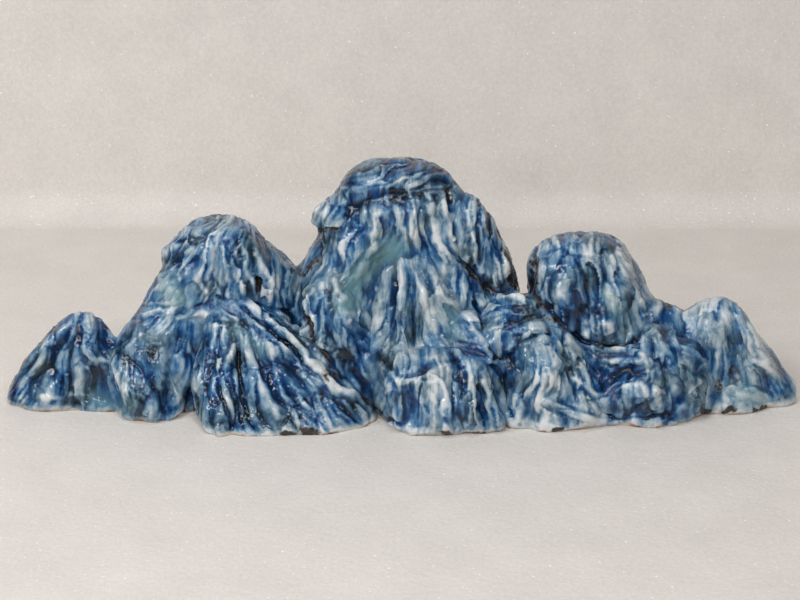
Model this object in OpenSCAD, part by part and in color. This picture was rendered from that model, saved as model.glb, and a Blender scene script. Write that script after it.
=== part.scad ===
// Ceramic brush rest modelled as a five-peaked mountain, with four saddles that brushes lie across.
// It is built the way a potter builds it: lumps of clay, each shaped, fluted and creased with a tool,
// pressed and luted onto what stands behind them, then glazed and fired as one body.
// Units are millimetres. X runs along the row of peaks, the viewer looks along +Y, and Z is up.
// The underside is flat, at Z = 0, and the middle of its bounding box is the origin.
// A foot has four reaches and a crown four half-widths: to the left, right, front and back.
// Angles run round a lump from its right side, by way of the back: 180 is left and 270 is the front.

/* [Row of peaks] */
// From the centre crag to the left crag
centre_to_left_crag = 35.4; // [30:0.2:42]
// From the left crag to the far left hill
left_crag_to_hill = 27.8; // [24:0.2:32]
// From the centre crag to the right boulder
centre_to_boulder = 37.2; // [32:0.2:42]
// From the right boulder to the far right hill
boulder_to_hill = 27.4; // [24:0.2:32]
// How far the centre crag's summit stands behind the middle of the base
centre_crag_back = 4; // [2:0.2:6]
// How far the left crag's summit stands behind the middle of the base
left_crag_back = 3; // [1:0.2:5]
// How far the right boulder's summit stands behind the middle of the base
right_boulder_back = 0; // [-2:0.2:2]
// How far the summits of both far hills stand in front of the middle of the base
far_hills_front = 2; // [0:0.2:4]

/* [Far left hill] */
// Height of the summit
far_left_hill_h = 18.7; // [14:0.1:24]
// Reaches of the foot
far_left_hill_foot = [17.6, 12, 8.2, 9]; // [6:0.1:24]
// Half-widths of the crown
far_left_hill_crown = [9.4, 8, 6, 6]; // [4:0.1:14]

/* [Far left spur] */
// Height of the spur that closes the saddle beside the hill
far_left_spur_h = 18.4; // [12:0.1:22]
// Reaches of the foot
far_left_spur_foot = [9, 6.4, 11.4, 8]; // [6:0.1:20]
// Half-widths of the crown
far_left_spur_crown = [9, 8, 8, 7]; // [4:0.1:14]
// Place of its top from the far left hill, along the row and to the back
far_left_spur_from_far_left_hill = [14.2, -2.6]; // [-24:0.1:24]

/* [Left crag] */
// Height of the summit
left_crag_h = 37; // [30:0.1:45]
// Reaches of the foot
left_crag_foot = [16, 24, 12, 18]; // [8:0.1:30]
// Half-widths of the crown
left_crag_crown = [9, 8, 8, 8]; // [4:0.1:14]

/* [Left shoulder] */
// Height of the boss on the left flank of the crag
left_shoulder_h = 27; // [20:0.1:33]
// Reaches of the foot
left_shoulder_foot = [13, 9, 10, 14]; // [6:0.1:20]
// Half-widths of the crown
left_shoulder_crown = [7, 7, 8, 7]; // [4:0.1:14]
// Place of its top from the left crag, along the row and to the back
left_shoulder_from_left_crag = [-9.2, -3.6]; // [-24:0.1:24]

/* [Left apron] */
// Height of the skirt that sweeps down in front of the crag
left_apron_h = 22.4; // [16:0.1:28]
// Reaches of the foot
left_apron_foot = [8, 29, 8, 20]; // [6:0.1:40]
// Half-widths of the crown
left_apron_crown = [9, 11, 5, 8]; // [4:0.1:18]
// Place of its top from the left crag, along the row and to the back
left_apron_from_left_crag = [3.6, -8]; // [-24:0.1:24]
// How far its foot lies from under its top, along the row and to the back
left_apron_lean = [0, -9.6]; // [-12:0.1:12]

/* [Centre crag] */
// Height of the summit, the highest point of the rest
centre_crag_h = 48.8; // [40:0.1:58]
// Reaches of the foot
centre_crag_foot = [22, 18, 13, 18.5]; // [8:0.1:30]
// Half-widths of the crown
centre_crag_crown = [12.2, 12.6, 9, 9]; // [4:0.1:18]

/* [Centre side crag] */
// Height of the buttress on the right of the centre crag
centre_side_crag_h = 42.4; // [35:0.1:50]
// Reaches of the foot
centre_side_crag_foot = [8, 15, 10, 14]; // [6:0.1:20]
// Half-widths of the crown
centre_side_crag_crown = [6, 8, 8, 8]; // [4:0.1:14]
// Place of its top from the centre crag, along the row and to the back
centre_side_crag_from_centre_crag = [13, -2]; // [-24:0.1:24]

/* [Centre buttress] */
// Height of the rounded mass at the lower left of the centre crag
centre_buttress_h = 27; // [20:0.1:33]
// Reaches of the foot
centre_buttress_foot = [9, 13, 11, 9]; // [6:0.1:20]
// Half-widths of the crown
centre_buttress_crown = [7.4, 7, 8, 8]; // [4:0.1:14]
// Place of its top from the centre crag, along the row and to the back
centre_buttress_from_centre_crag = [-12.6, -8]; // [-24:0.1:24]

/* [Centre column] */
// Height of the fluted column in front of the centre crag
centre_column_h = 32.6; // [26:0.1:40]
// Reaches of the foot
centre_column_foot = [9.2, 16, 8.6, 9]; // [6:0.1:22]
// Half-widths of the crown
centre_column_crown = [6.2, 5.4, 4, 6]; // [3:0.1:14]
// Place of its top from the centre crag, along the row and to the back
centre_column_from_centre_crag = [2.4, -9]; // [-24:0.1:24]
// How far its foot lies from under its top, along the row and to the back
centre_column_lean = [1, -2]; // [-6:0.1:6]

/* [Centre skirt] */
// Height of the low fluted block at the front
centre_skirt_h = 15; // [10:0.1:20]
// Reaches of the foot
centre_skirt_foot = [7.5, 15, 8.4, 9]; // [6:0.1:22]
// Half-widths of the crown
centre_skirt_crown = [11, 13.4, 6.4, 7]; // [4:0.1:18]
// Place of its top from the centre crag, along the row and to the back
centre_skirt_from_centre_crag = [6.4, -18]; // [-24:0.1:24]

/* [Lower slab] */
// Height of the leaf of clay between the column and the slab
lower_slab_h = 20.6; // [15:0.1:26]
// Reaches of the foot
lower_slab_foot = [7, 7, 8, 9]; // [4:0.1:16]
// Half-widths of the crown
lower_slab_crown = [7, 6, 6, 7]; // [3:0.1:14]
// Place of its top from the side crag, along the row and to the back
lower_slab_from_centre_side_crag = [1.4, -10]; // [-24:0.1:24]

/* [Right slab] */
// Height of the slab that leans on the side crag
right_slab_h = 24.2; // [18:0.1:30]
// Reaches of the foot
right_slab_foot = [8, 10, 9, 9]; // [6:0.1:20]
// Half-widths of the crown
right_slab_crown = [7.4, 7.6, 6, 9]; // [4:0.1:14]
// Place of its top from the side crag, along the row and to the back
right_slab_from_centre_side_crag = [10.4, -9]; // [-24:0.1:24]

/* [Front ridge] */
// Height of the ridge at the front, right of the middle
front_ridge_h = 18; // [12:0.1:24]
// Reaches of the foot
front_ridge_foot = [9.4, 15, 9.4, 11]; // [6:0.1:20]
// Half-widths of the crown
front_ridge_crown = [7, 8, 6, 9]; // [4:0.1:14]
// Place of its top from the right boulder, along the row and to the back
front_ridge_from_right_boulder = [-7.6, -11]; // [-24:0.1:24]

/* [Right boulder] */
// Height of the summit
right_boulder_h = 34.4; // [28:0.1:42]
// Reaches of the foot
right_boulder_foot = [11, 18, 11, 19]; // [8:0.1:24]
// Half-widths of the crown
right_boulder_crown = [10.8, 10.2, 8.6, 8.6]; // [4:0.1:16]

/* [Right shoulder] */
// Height of the slope that closes the saddle beside the far right hill
right_shoulder_h = 20.4; // [14:0.1:26]
// Reaches of the foot
right_shoulder_foot = [9, 10, 9, 13]; // [6:0.1:20]
// Half-widths of the crown
right_shoulder_crown = [7, 8, 7, 7]; // [4:0.1:14]
// Place of its top from the right boulder, along the row and to the back
right_shoulder_from_right_boulder = [15.8, -1]; // [-24:0.1:24]

/* [Right knuckle] */
// Height of the rounded mass at the front, left of the far right hill
right_knuckle_h = 17.2; // [12:0.1:22]
// Reaches of the foot
right_knuckle_foot = [12, 8.6, 11.6, 8]; // [6:0.1:20]
// Half-widths of the crown
right_knuckle_crown = [11, 12.4, 9, 8]; // [4:0.1:16]
// Place of its top from the right boulder, along the row and to the back
right_knuckle_from_right_boulder = [12, -6.6]; // [-24:0.1:24]

/* [Right plate] */
// Height of the thin plate pressed on where the knuckle meets the far right hill
right_plate_h = 14.6; // [10:0.1:20]
// Reaches of the foot
right_plate_foot = [5, 3.4, 6.4, 6]; // [3:0.1:12]
// Half-widths of the crown
right_plate_crown = [5.4, 5, 5.6, 6]; // [3:0.1:12]
// Place of its top from the far right hill, along the row and to the back
right_plate_from_far_right_hill = [-7, -6.4]; // [-24:0.1:24]

/* [Far right hill] */
// Height of the summit
far_right_hill_h = 21.9; // [16:0.1:28]
// Reaches of the foot
far_right_hill_foot = [11.5, 17.6, 9, 9.4]; // [6:0.1:24]
// Half-widths of the crown
far_right_hill_crown = [10, 8.6, 7, 7]; // [4:0.1:14]

/* [Clay work] */
// Depth of the flutes drawn down the lumps with a tool
flute_depth = 1.5; // [0:0.1:2]
// Depth of the hollows left by pinching and pressing the lumps
pinch_depth = 1; // [0:0.1:1.5]
// Height of the ribs and depth of the creases, as a share of what each one is drawn with
fold_rise = 1; // [0:0.1:1.3]
// Width of the rounded lip where the lumps meet the table
foot_lip = 0.8; // [0.3:0.1:1.5]

/* [Hidden] */

// The glaze runs thin and pale over the crests and pools deep in the hollows
glaze_pale = [0.45, 0.54, 0.6];
glaze_mid = [0.39, 0.48, 0.55];
glaze_deep = [0.33, 0.42, 0.51];

// The row is set out from the centre crag and then shifted so that it ends equally far left and right
row_left = centre_to_left_crag + left_crag_to_hill + far_left_hill_foot[0];
row_right = centre_to_boulder + boulder_to_hill + far_right_hill_foot[1];
centre_x = (row_left - row_right) / 2;
left_crag_x = centre_x - centre_to_left_crag;
boulder_x = centre_x + centre_to_boulder;
centre_crag_at = [centre_x, centre_crag_back];
left_crag_at = [left_crag_x, left_crag_back];
far_left_hill_at = [left_crag_x - left_crag_to_hill, -far_hills_front];
right_boulder_at = [boulder_x, right_boulder_back];
far_right_hill_at = [boulder_x + boulder_to_hill, -far_hills_front];

// Every other lump is pressed on beside one of the five peaks
far_left_spur_at = far_left_hill_at + far_left_spur_from_far_left_hill;
left_shoulder_at = left_crag_at + left_shoulder_from_left_crag;
left_apron_at = left_crag_at + left_apron_from_left_crag;
centre_side_crag_at = centre_crag_at + centre_side_crag_from_centre_crag;
centre_buttress_at = centre_crag_at + centre_buttress_from_centre_crag;
centre_column_at = centre_crag_at + centre_column_from_centre_crag;
centre_skirt_at = centre_crag_at + centre_skirt_from_centre_crag;
lower_slab_at = centre_side_crag_at + lower_slab_from_centre_side_crag;
right_slab_at = centre_side_crag_at + right_slab_from_centre_side_crag;
front_ridge_at = right_boulder_at + front_ridge_from_right_boulder;
right_shoulder_at = right_boulder_at + right_shoulder_from_right_boulder;
right_knuckle_at = right_boulder_at + right_knuckle_from_right_boulder;
right_plate_at = far_right_hill_at + right_plate_from_far_right_hill;

// Shares of the height at which the rings of a lump lie, closer together where its form turns
low_levels = [0, 0.06, 0.19, 0.33, 0.48, 0.63, 0.77, 0.89, 0.965];
mid_levels = [0, 0.05, 0.17, 0.3, 0.43, 0.55, 0.67, 0.78, 0.88, 0.96];
crag_levels = [0, 0.05, 0.19, 0.33, 0.46, 0.57, 0.66, 0.74, 0.81, 0.865, 0.91, 0.945, 0.978];
cap_levels = [0, 0.05, 0.19, 0.34, 0.48, 0.59, 0.68, 0.75, 0.8, 0.84, 0.875, 0.905, 0.935, 0.965, 0.985];

// How many degrees the points of a ring are gathered to the front, where most of the tool work is
gather = 18;

function bend(v, power) = sign(v) * pow(abs(v), power);

function turn_between(from, to) =
    let (turn = (to - from) % 360)
    turn > 180 ? turn - 360 : turn < -180 ? turn + 360 : turn;

function total(list) = len(list) == 0 ? 0 : list * [for (v = list) 1];

// Half-width at a share t of the height: a crown that closes over at the top, and a foot that spreads
function reach(foot, crown, t, blunt, sweep) =
    crown * sqrt(1 - pow(t, blunt)) + (foot - crown) * pow(1 - t, sweep);

// Depth of the tool marks: rounded ribs with sharp grooves between them, unevenly deep, that sway
function flute(angle, t, count, phase) =
    let (a = angle + 14 * sin(t * 200 + phase * 9))
    pow(1 - abs(sin(a * count / 2 + phase)), 1.4) * (0.7 + 0.3 * sin(a * 3 + phase * 5));

// Broad hollows and swellings that keep a lump from looking turned
function pinch(angle, t, phase) =
    0.5 * sin(angle * 2 + t * 310 + phase * 7) + 0.5 * sin(angle * 5 - t * 430 + phase * 11);

// How far a knob stands out, or a hollow stands in: [angle, share of the height, how far, spread in
// degrees, spread in share of the height]
function knob_at(angle, t, k) =
    k[2] * exp(-pow(turn_between(k[0], angle) / k[3], 2) - pow((t - k[1]) / k[4], 2));

// How far a rib stands out, or a crease stands in, that runs from one place on a lump to another:
// [angle, share of the height, angle, share of the height, how far, half its width in millimetres].
// One degree is mm millimetres here.
function fold_at(angle, t, mm, h, f) =
    let (along = [turn_between(f[0], f[2]) * mm, (f[3] - f[1]) * h])
    let (to = [turn_between(f[0], angle) * mm, (t - f[1]) * h])
    let (nearest = along * max(0, min(1, to * along / (along * along))))
    f[4] * exp(-pow(norm(to - nearest) / f[5], 2));

function ring(at, h, foot, crown, lean, t, blunt, sweep, square, flutes, phase, knobs, folds, around) =
    let (lip = t == 0 ? foot_lip : 0)
    let (fade = min(1, (1 - t) * 4))
    [for (i = [0 : around - 1])
        let (even = 360 * i / around)
        let (angle = even - gather * cos(even))
        let (c = bend(cos(angle), 2 / square))
        let (s = bend(sin(angle), 2 / square))
        let (side = c < 0 ? 0 : 1)
        let (face = s < 0 ? 2 : 3)
        let (x = reach(foot[side], crown[side], t, blunt, sweep))
        let (y = reach(foot[face], crown[face], t, blunt, sweep))
        let (outward = [y * c, x * s] / norm([y * c, x * s]))
        let (mm = norm([x * s, y * c]) * PI / 180)
        let (marks = flute_depth * flute(angle, t, flutes, phase) + pinch_depth * pinch(angle, t, phase))
        let (worked = fold_rise * total([for (f = folds) fold_at(angle, t, mm, h, f)]))
        let (pressed = total([for (k = knobs) knob_at(angle, t, k)]))
        let (point = [x * c, y * s] + outward * (pressed + fade * (worked - marks) - lip))
        [at[0] + lean[0] * (1 - t) + point[0], at[1] + lean[1] * (1 - t) + point[1], h * t]];

// One lump of clay, lofted through rings that follow the four reaches from foot to summit
module lump(at, h, foot, crown, lean = [0, 0], blunt = 3, sweep = 1.2, square = 2.2,
            flutes = 9, phase = 0, knobs = [], folds = [], around = 28, levels = mid_levels) {
    rings = [for (t = levels)
        ring(at, h, foot, crown, lean, t, blunt, sweep, square, flutes, phase, knobs, folds, around)];
    n = len(levels);
    points = concat([for (r = rings) each r], [[at[0] + lean[0], at[1] + lean[1], 0], [at[0], at[1], h]]);
    sides = [for (k = [0 : n - 2]) for (i = [0 : around - 1])
        let (j = (i + 1) % around)
        each [[k * around + i, (k + 1) * around + i, k * around + j],
              [k * around + j, (k + 1) * around + i, (k + 1) * around + j]]];
    under = [for (i = [0 : around - 1]) [n * around, i, (i + 1) % around]];
    brim = (n - 1) * around;
    summit = [for (i = [0 : around - 1]) [n * around + 1, brim + (i + 1) % around, brim + i]];
    polyhedron(points, concat(sides, under, summit), convexity = 6);
}

module far_left_hill_clay()
    lump(far_left_hill_at, far_left_hill_h, far_left_hill_foot, far_left_hill_crown,
         blunt = 2.3, sweep = 1.7, flutes = 8, phase = 20, around = 30,
         folds = [
             // rib down the left flank
             [220, 0.8, 208, 0.15, 0.9, 2],
             // crooked rib in front
             [278, 0.9, 276, 0.62, 1, 1.6], [276, 0.62, 306, 0.5, 1, 1.6],
             // groove and rib on the right
             [340, 0.92, 314, 0.7, -1, 1.6], [318, 0.52, 326, 0.2, 0.8, 1.6]
         ]);

module far_left_spur_clay()
    lump(far_left_spur_at, far_left_spur_h, far_left_spur_foot, far_left_spur_crown,
         blunt = 3, flutes = 9, phase = 50, around = 26, levels = low_levels,
         folds = [[229, 0.73, 284, 0.35, -0.9, 1.6], [226, 0.48, 270, 0.14, 0.8, 1.6]]);

module left_crag_clay()
    lump(left_crag_at, left_crag_h, left_crag_foot, left_crag_crown,
         blunt = 14, sweep = 1, flutes = 11, phase = 10, around = 38, levels = crag_levels,
         knobs = [[172, 0.78, 1.4, 30, 0.08], [0, 0.62, 2, 40, 0.14], [0, 0.88, -1, 50, 0.06],
                  [304, 0.68, -1.6, 7, 0.04]],
         folds = [
             // ledge under the top, and the fold under the knob
             [202, 0.88, 284, 0.925, -1, 1.3], [197, 0.79, 250, 0.82, -0.9, 1.4],
             // long ribs down the face
             [276, 0.9, 278, 0.66, 0.8, 1.4], [312, 0.94, 299, 0.72, 0.8, 1.4],
             [322, 0.9, 318, 0.64, 0.8, 1.4],
             // fold where the face meets the apron
             [262, 0.63, 304, 0.58, -1.1, 1.6], [304, 0.58, 328, 0.5, -1.1, 1.6]
         ]);

module left_shoulder_clay()
    lump(left_shoulder_at, left_shoulder_h, left_shoulder_foot, left_shoulder_crown,
         blunt = 3, sweep = 1, flutes = 8, phase = 35, around = 22, levels = low_levels,
         folds = [[236, 0.6, 240, 0.2, 0.8, 1.6]]);

module left_apron_clay()
    lump(left_apron_at, left_apron_h, left_apron_foot, left_apron_crown, lean = left_apron_lean,
         blunt = 2.5, sweep = 1.3, flutes = 13, phase = 15, around = 54,
         folds = [
             // outer rib, down to the toe
             [312, 0.95, 334, 0.74, 1.7, 2], [334, 0.74, 328, 0.48, 1.7, 2],
             [328, 0.48, 343, 0.16, 1.7, 2.2],
             // second rib, and the groove above it
             [285, 0.9, 307, 0.69, 1.4, 1.7], [307, 0.69, 317, 0.42, 1.4, 1.7],
             [279, 0.95, 303, 0.83, -1.3, 1.2], [303, 0.83, 321, 0.55, -1.3, 1.2],
             // lens of clay, and the grooves beside it
             [267, 0.69, 254, 0.48, 1.7, 1.5], [272, 0.66, 275, 0.14, -1.4, 1.1],
             [249, 0.42, 268, 0.06, -1.3, 1.1],
             // ribs of the foot
             [279, 0.66, 284, 0.3, 1.1, 1.3], [284, 0.42, 287, 0.12, 1.1, 1.3],
             [250, 0.46, 268, 0.12, 1, 1.3], [298, 0.7, 294, 0.1, 1.1, 1.4],
             [303, 0.46, 304, 0.1, 1, 1.4],
             // rib along the head
             [240, 0.9, 262, 0.9, 1.2, 1.6]
         ]);

module centre_crag_clay()
    lump(centre_crag_at, centre_crag_h, centre_crag_foot, centre_crag_crown,
         blunt = 16, sweep = 1.3, square = 2.4, flutes = 11, phase = 5, around = 46, levels = cap_levels,
         knobs = [[186, 0.775, 3.6, 26, 0.055], [190, 0.865, -0.9, 30, 0.03], [178, 0.5, 4.4, 40, 0.11],
                  [276, 0.955, 1, 60, 0.025]],
         folds = [
             // overhang under the cap
             [218, 0.8, 246, 0.885, -1.9, 1.8], [246, 0.885, 300, 0.915, -1.9, 1.7],
             [300, 0.915, 326, 0.94, -1.6, 1.6],
             // lobe left of the valley
             [230, 0.82, 225, 0.68, 1.1, 1.6], [225, 0.66, 250, 0.65, 1.1, 1.6],
             // first arch of the face
             [256, 0.68, 257, 0.83, 1.3, 1.3], [257, 0.83, 272, 0.84, 1.3, 1.3],
             [272, 0.84, 277, 0.68, 1.3, 1.3],
             // second arch of the face
             [281, 0.72, 284, 0.84, 1.3, 1.3], [284, 0.84, 301, 0.84, 1.3, 1.3],
             [301, 0.84, 308, 0.6, 1.3, 1.5],
             // rib and crevice beside the side crag
             [316, 0.93, 319, 0.68, 1.1, 1.5], [327, 0.9, 323, 0.76, -1.5, 1.3],
             // fold under the knob, and the valley
             [188, 0.72, 220, 0.74, -1.3, 1.2], [240, 0.76, 262, 0.52, -1, 2.4]
         ]);

module centre_side_crag_clay()
    lump(centre_side_crag_at, centre_side_crag_h, centre_side_crag_foot, centre_side_crag_crown,
         blunt = 3.4, sweep = 1, flutes = 7, phase = 60, around = 28,
         knobs = [[350, 0.6, 1.6, 30, 0.1]],
         folds = [
             // crevice at its foot
             [262, 0.76, 290, 0.64, -1.4, 1.6], [290, 0.64, 332, 0.55, -1.4, 1.7],
             // ribs of the side
             [282, 0.95, 297, 0.66, 0.9, 1.5], [332, 0.93, 320, 0.66, 0.9, 1.5]
         ]);

module centre_buttress_clay()
    lump(centre_buttress_at, centre_buttress_h, centre_buttress_foot, centre_buttress_crown,
         blunt = 3.5, flutes = 8, phase = 25, around = 26, levels = low_levels,
         folds = [
             // arch, and a crease inside it
             [206, 0.74, 230, 0.94, 1, 1.6], [285, 0.95, 300, 0.7, 1, 1.6],
             [250, 0.72, 262, 0.3, -0.9, 1.6]
         ]);

module centre_column_clay()
    lump(centre_column_at, centre_column_h, centre_column_foot, centre_column_crown,
         lean = centre_column_lean, blunt = 3, sweep = 0.9, flutes = 9, phase = 70, around = 34,
         folds = [
             // ribs, from left to right
             [201, 0.84, 222, 0.42, 1.2, 1.5], [232, 0.95, 257, 0.7, 1.3, 1.4],
             [257, 0.7, 259, 0.36, 1.3, 1.5], [284, 0.95, 292, 0.76, 1.3, 1.4],
             [292, 0.76, 301, 0.46, 1.3, 1.6], [330, 0.84, 352, 0.66, 1.1, 1.5],
             // grooves between them
             [219, 0.9, 244, 0.44, -1.2, 1.2], [270, 0.92, 275, 0.4, -1.4, 1.2],
             [320, 0.9, 312, 0.66, -1.2, 1.3]
         ]);

module centre_skirt_clay()
    lump(centre_skirt_at, centre_skirt_h, centre_skirt_foot, centre_skirt_crown,
         blunt = 5, square = 3, flutes = 12, phase = 40, around = 44, levels = low_levels,
         folds = [
             // rim under the ledge
             [243, 0.74, 268, 0.83, 0.9, 1.5],
             // ribs of the skirt
             [268, 0.71, 268, 0.4, 0.9, 1.2], [272, 0.8, 279, 0.24, 1.1, 1.3],
             [305, 0.75, 295, 0.16, 1.2, 1.3], [329, 0.74, 324, 0.1, 1.1, 1.4],
             [225, 0.62, 220, 0.14, 1, 1.4],
             // grooves between them
             [262, 0.7, 262, 0.2, -1, 1], [300, 0.82, 289, 0.2, -1.1, 1.1],
             [313, 0.68, 306, 0.14, -1.1, 1.1], [244, 0.7, 240, 0.2, -1, 1.2]
         ]);

module lower_slab_clay()
    lump(lower_slab_at, lower_slab_h, lower_slab_foot, lower_slab_crown,
         blunt = 4, square = 2.6, flutes = 5, phase = 15, around = 24, levels = low_levels,
         folds = [
             // rim and edge of the leaf
             [274, 0.64, 312, 0.62, 1.1, 1.2], [271, 0.96, 310, 0.66, 1, 1.2]
         ]);

module right_slab_clay()
    lump(right_slab_at, right_slab_h, right_slab_foot, right_slab_crown,
         blunt = 5, square = 2.8, flutes = 6, phase = 80, around = 28,
         folds = [
             // lip of the leaf
             [246, 0.6, 272, 0.7, 1.2, 1.2], [272, 0.7, 292, 0.79, 1.2, 1.2],
             // its underside, and the fold across its top
             [248, 0.53, 275, 0.64, -1, 1.2], [275, 0.64, 292, 0.73, -1.1, 1.2],
             [250, 0.83, 300, 0.86, -0.9, 1.2]
         ]);

module front_ridge_clay()
    lump(front_ridge_at, front_ridge_h, front_ridge_foot, front_ridge_crown,
         blunt = 3.5, flutes = 9, phase = 30, around = 32, levels = low_levels,
         folds = [
             // rib down the face, and the groove to its right
             [249, 0.95, 268, 0.7, 1, 2.2], [268, 0.7, 268, 0.35, 1, 2.2],
             [302, 0.8, 295, 0.28, -1.3, 1.3],
             // folds of the toe, and the rib of the right side
             [248, 0.4, 296, 0.2, 1, 1.5], [285, 0.22, 324, 0.08, 0.8, 1.5],
             [316, 0.6, 316, 0.3, 1, 1.6]
         ]);

module right_boulder_clay()
    lump(right_boulder_at, right_boulder_h, right_boulder_foot, right_boulder_crown,
         blunt = 12, sweep = 0.8, square = 2.6, flutes = 9, phase = 45, around = 38, levels = crag_levels,
         knobs = [[0, 0.84, -2, 50, 0.1], [270, 0.53, 1.1, 6, 0.035], [281, 0.55, 1.1, 6, 0.035],
                  [275, 0.49, -1.2, 4, 0.03]],
         folds = [
             // fold under the brow, and the hollow left side
             [206, 0.93, 275, 0.925, -0.9, 1.2], [194, 0.9, 196, 0.7, -1, 2],
             // crevice at its foot
             [231, 0.69, 262, 0.5, -1.6, 1.5], [262, 0.5, 286, 0.42, -1.6, 1.5],
             // ribs of the flanks
             [314, 0.95, 312, 0.82, 0.9, 1.6], [312, 0.82, 332, 0.62, 0.9, 1.6],
             [262, 0.86, 250, 0.64, 0.8, 2], [292, 0.9, 294, 0.64, 0.8, 1.6]
         ]);

module right_shoulder_clay()
    lump(right_shoulder_at, right_shoulder_h, right_shoulder_foot, right_shoulder_crown,
         blunt = 3, flutes = 7, phase = 5, around = 18, levels = low_levels,
         knobs = [[326, 0.83, -1.3, 14, 0.09]]);

module right_knuckle_clay()
    lump(right_knuckle_at, right_knuckle_h, right_knuckle_foot, right_knuckle_crown,
         blunt = 3.5, square = 2.5, flutes = 8, phase = 55, around = 38, levels = low_levels,
         knobs = [[290, 0.5, 1, 20, 0.2]],
         folds = [
             // rib of the top, and the fold under it
             [228, 0.71, 264, 0.76, 1.1, 1.3], [234, 0.57, 267, 0.69, -1.4, 1.3],
             // knob and right rib
             [253, 0.5, 270, 0.46, 1.2, 1.6], [250, 0.88, 271, 0.74, 1, 1.4],
             [271, 0.74, 281, 0.26, 1.1, 1.4],
             // fold at the foot, the groove before the plate, and the left knob
             [249, 0.11, 289, 0.2, -1.1, 1.3], [289, 0.78, 286, 0.3, -1.2, 1.2],
             [236, 0.32, 250, 0.28, 1.1, 1.4]
         ]);

module right_plate_clay()
    lump(right_plate_at, right_plate_h, right_plate_foot, right_plate_crown,
         blunt = 4, square = 2.6, flutes = 5, phase = 30, around = 20, levels = low_levels);

module far_right_hill_clay()
    lump(far_right_hill_at, far_right_hill_h, far_right_hill_foot, far_right_hill_crown,
         blunt = 2.8, sweep = 1.6, flutes = 8, phase = 65, around = 30,
         knobs = [[0, 0.68, -1.2, 50, 0.16], [350, 0.14, 1.6, 30, 0.1]],
         folds = [
             // left rib
             [222, 0.94, 238, 0.7, 0.8, 1.8],
             // middle rib
             [282, 0.94, 266, 0.3, 0.9, 1.8],
             // right rib, in two bends
             [332, 0.92, 312, 0.7, 0.9, 1.8], [312, 0.7, 330, 0.26, 0.9, 1.8],
             // groove beside the middle rib
             [290, 0.8, 286, 0.3, -0.9, 1.8]
         ]);

// The lumps in the order in which they are luted on: each one is cut to seat on those before it
module far_left_hill() {
    color(glaze_deep) far_left_hill_clay();
}

module centre_crag() {
    color(glaze_mid) centre_crag_clay();
}

module far_right_hill() {
    color(glaze_pale) far_right_hill_clay();
}

module left_crag() {
    color(glaze_pale) difference() {
        left_crag_clay();
        centre_crag_clay();
        far_left_hill_clay();
    }
}

module right_boulder() {
    color(glaze_deep) difference() {
        right_boulder_clay();
        centre_crag_clay();
        far_right_hill_clay();
    }
}

module centre_side_crag() {
    color(glaze_deep) difference() {
        centre_side_crag_clay();
        centre_crag_clay();
        right_boulder_clay();
    }
}

module centre_buttress() {
    color(glaze_deep) difference() {
        centre_buttress_clay();
        centre_crag_clay();
        left_crag_clay();
    }
}

module left_shoulder() {
    color(glaze_mid) difference() {
        left_shoulder_clay();
        left_crag_clay();
        far_left_hill_clay();
    }
}

module left_apron() {
    color(glaze_deep) difference() {
        left_apron_clay();
        left_crag_clay();
        left_shoulder_clay();
        centre_crag_clay();
        centre_buttress_clay();
        centre_column_clay();
    }
}

module far_left_spur() {
    color(glaze_mid) difference() {
        far_left_spur_clay();
        far_left_hill_clay();
        left_crag_clay();
        left_shoulder_clay();
        left_apron_clay();
    }
}

module centre_column() {
    color(glaze_pale) difference() {
        centre_column_clay();
        centre_crag_clay();
        centre_side_crag_clay();
        centre_buttress_clay();
    }
}

module right_slab() {
    color(glaze_mid) difference() {
        right_slab_clay();
        centre_crag_clay();
        centre_side_crag_clay();
        right_boulder_clay();
        centre_column_clay();
    }
}

module lower_slab() {
    color(glaze_mid) difference() {
        lower_slab_clay();
        centre_crag_clay();
        centre_side_crag_clay();
        centre_column_clay();
        right_slab_clay();
    }
}

module centre_skirt() {
    color(glaze_mid) difference() {
        centre_skirt_clay();
        centre_crag_clay();
        centre_buttress_clay();
        centre_side_crag_clay();
        centre_column_clay();
        left_apron_clay();
        right_slab_clay();
        lower_slab_clay();
    }
}

module front_ridge() {
    color(glaze_pale) difference() {
        front_ridge_clay();
        right_boulder_clay();
        centre_side_crag_clay();
        right_slab_clay();
        lower_slab_clay();
        centre_skirt_clay();
    }
}

module right_shoulder() {
    color(glaze_mid) difference() {
        right_shoulder_clay();
        right_boulder_clay();
        far_right_hill_clay();
    }
}

module right_knuckle() {
    color(glaze_mid) difference() {
        right_knuckle_clay();
        right_boulder_clay();
        right_shoulder_clay();
        far_right_hill_clay();
        front_ridge_clay();
    }
}

module right_plate() {
    color(glaze_pale) difference() {
        right_plate_clay();
        right_boulder_clay();
        right_shoulder_clay();
        far_right_hill_clay();
        right_knuckle_clay();
    }
}

far_left_hill();
far_left_spur();
left_crag();
left_shoulder();
left_apron();
centre_crag();
centre_side_crag();
centre_buttress();
centre_column();
centre_skirt();
lower_slab();
right_slab();
front_ridge();
right_boulder();
right_shoulder();
right_knuckle();
right_plate();
far_right_hill();
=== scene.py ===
# %% [markdown]
# # A glazed mountain brush rest
# The real object is one fired piece of porcelain. The potter shaped lumps of clay, drew flutes down
# them with a pointed tool, luted them together, and let cobalt blue and white glaze run over the
# ridges. The imported CAD part gives the lumps in their true places. This script gives each one its
# worked surface and its glaze, without moving it.

# %% Load the part
import bpy
import math
import numpy as np
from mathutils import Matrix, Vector
from mathutils.bvhtree import BVHTree
from types import SimpleNamespace


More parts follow.
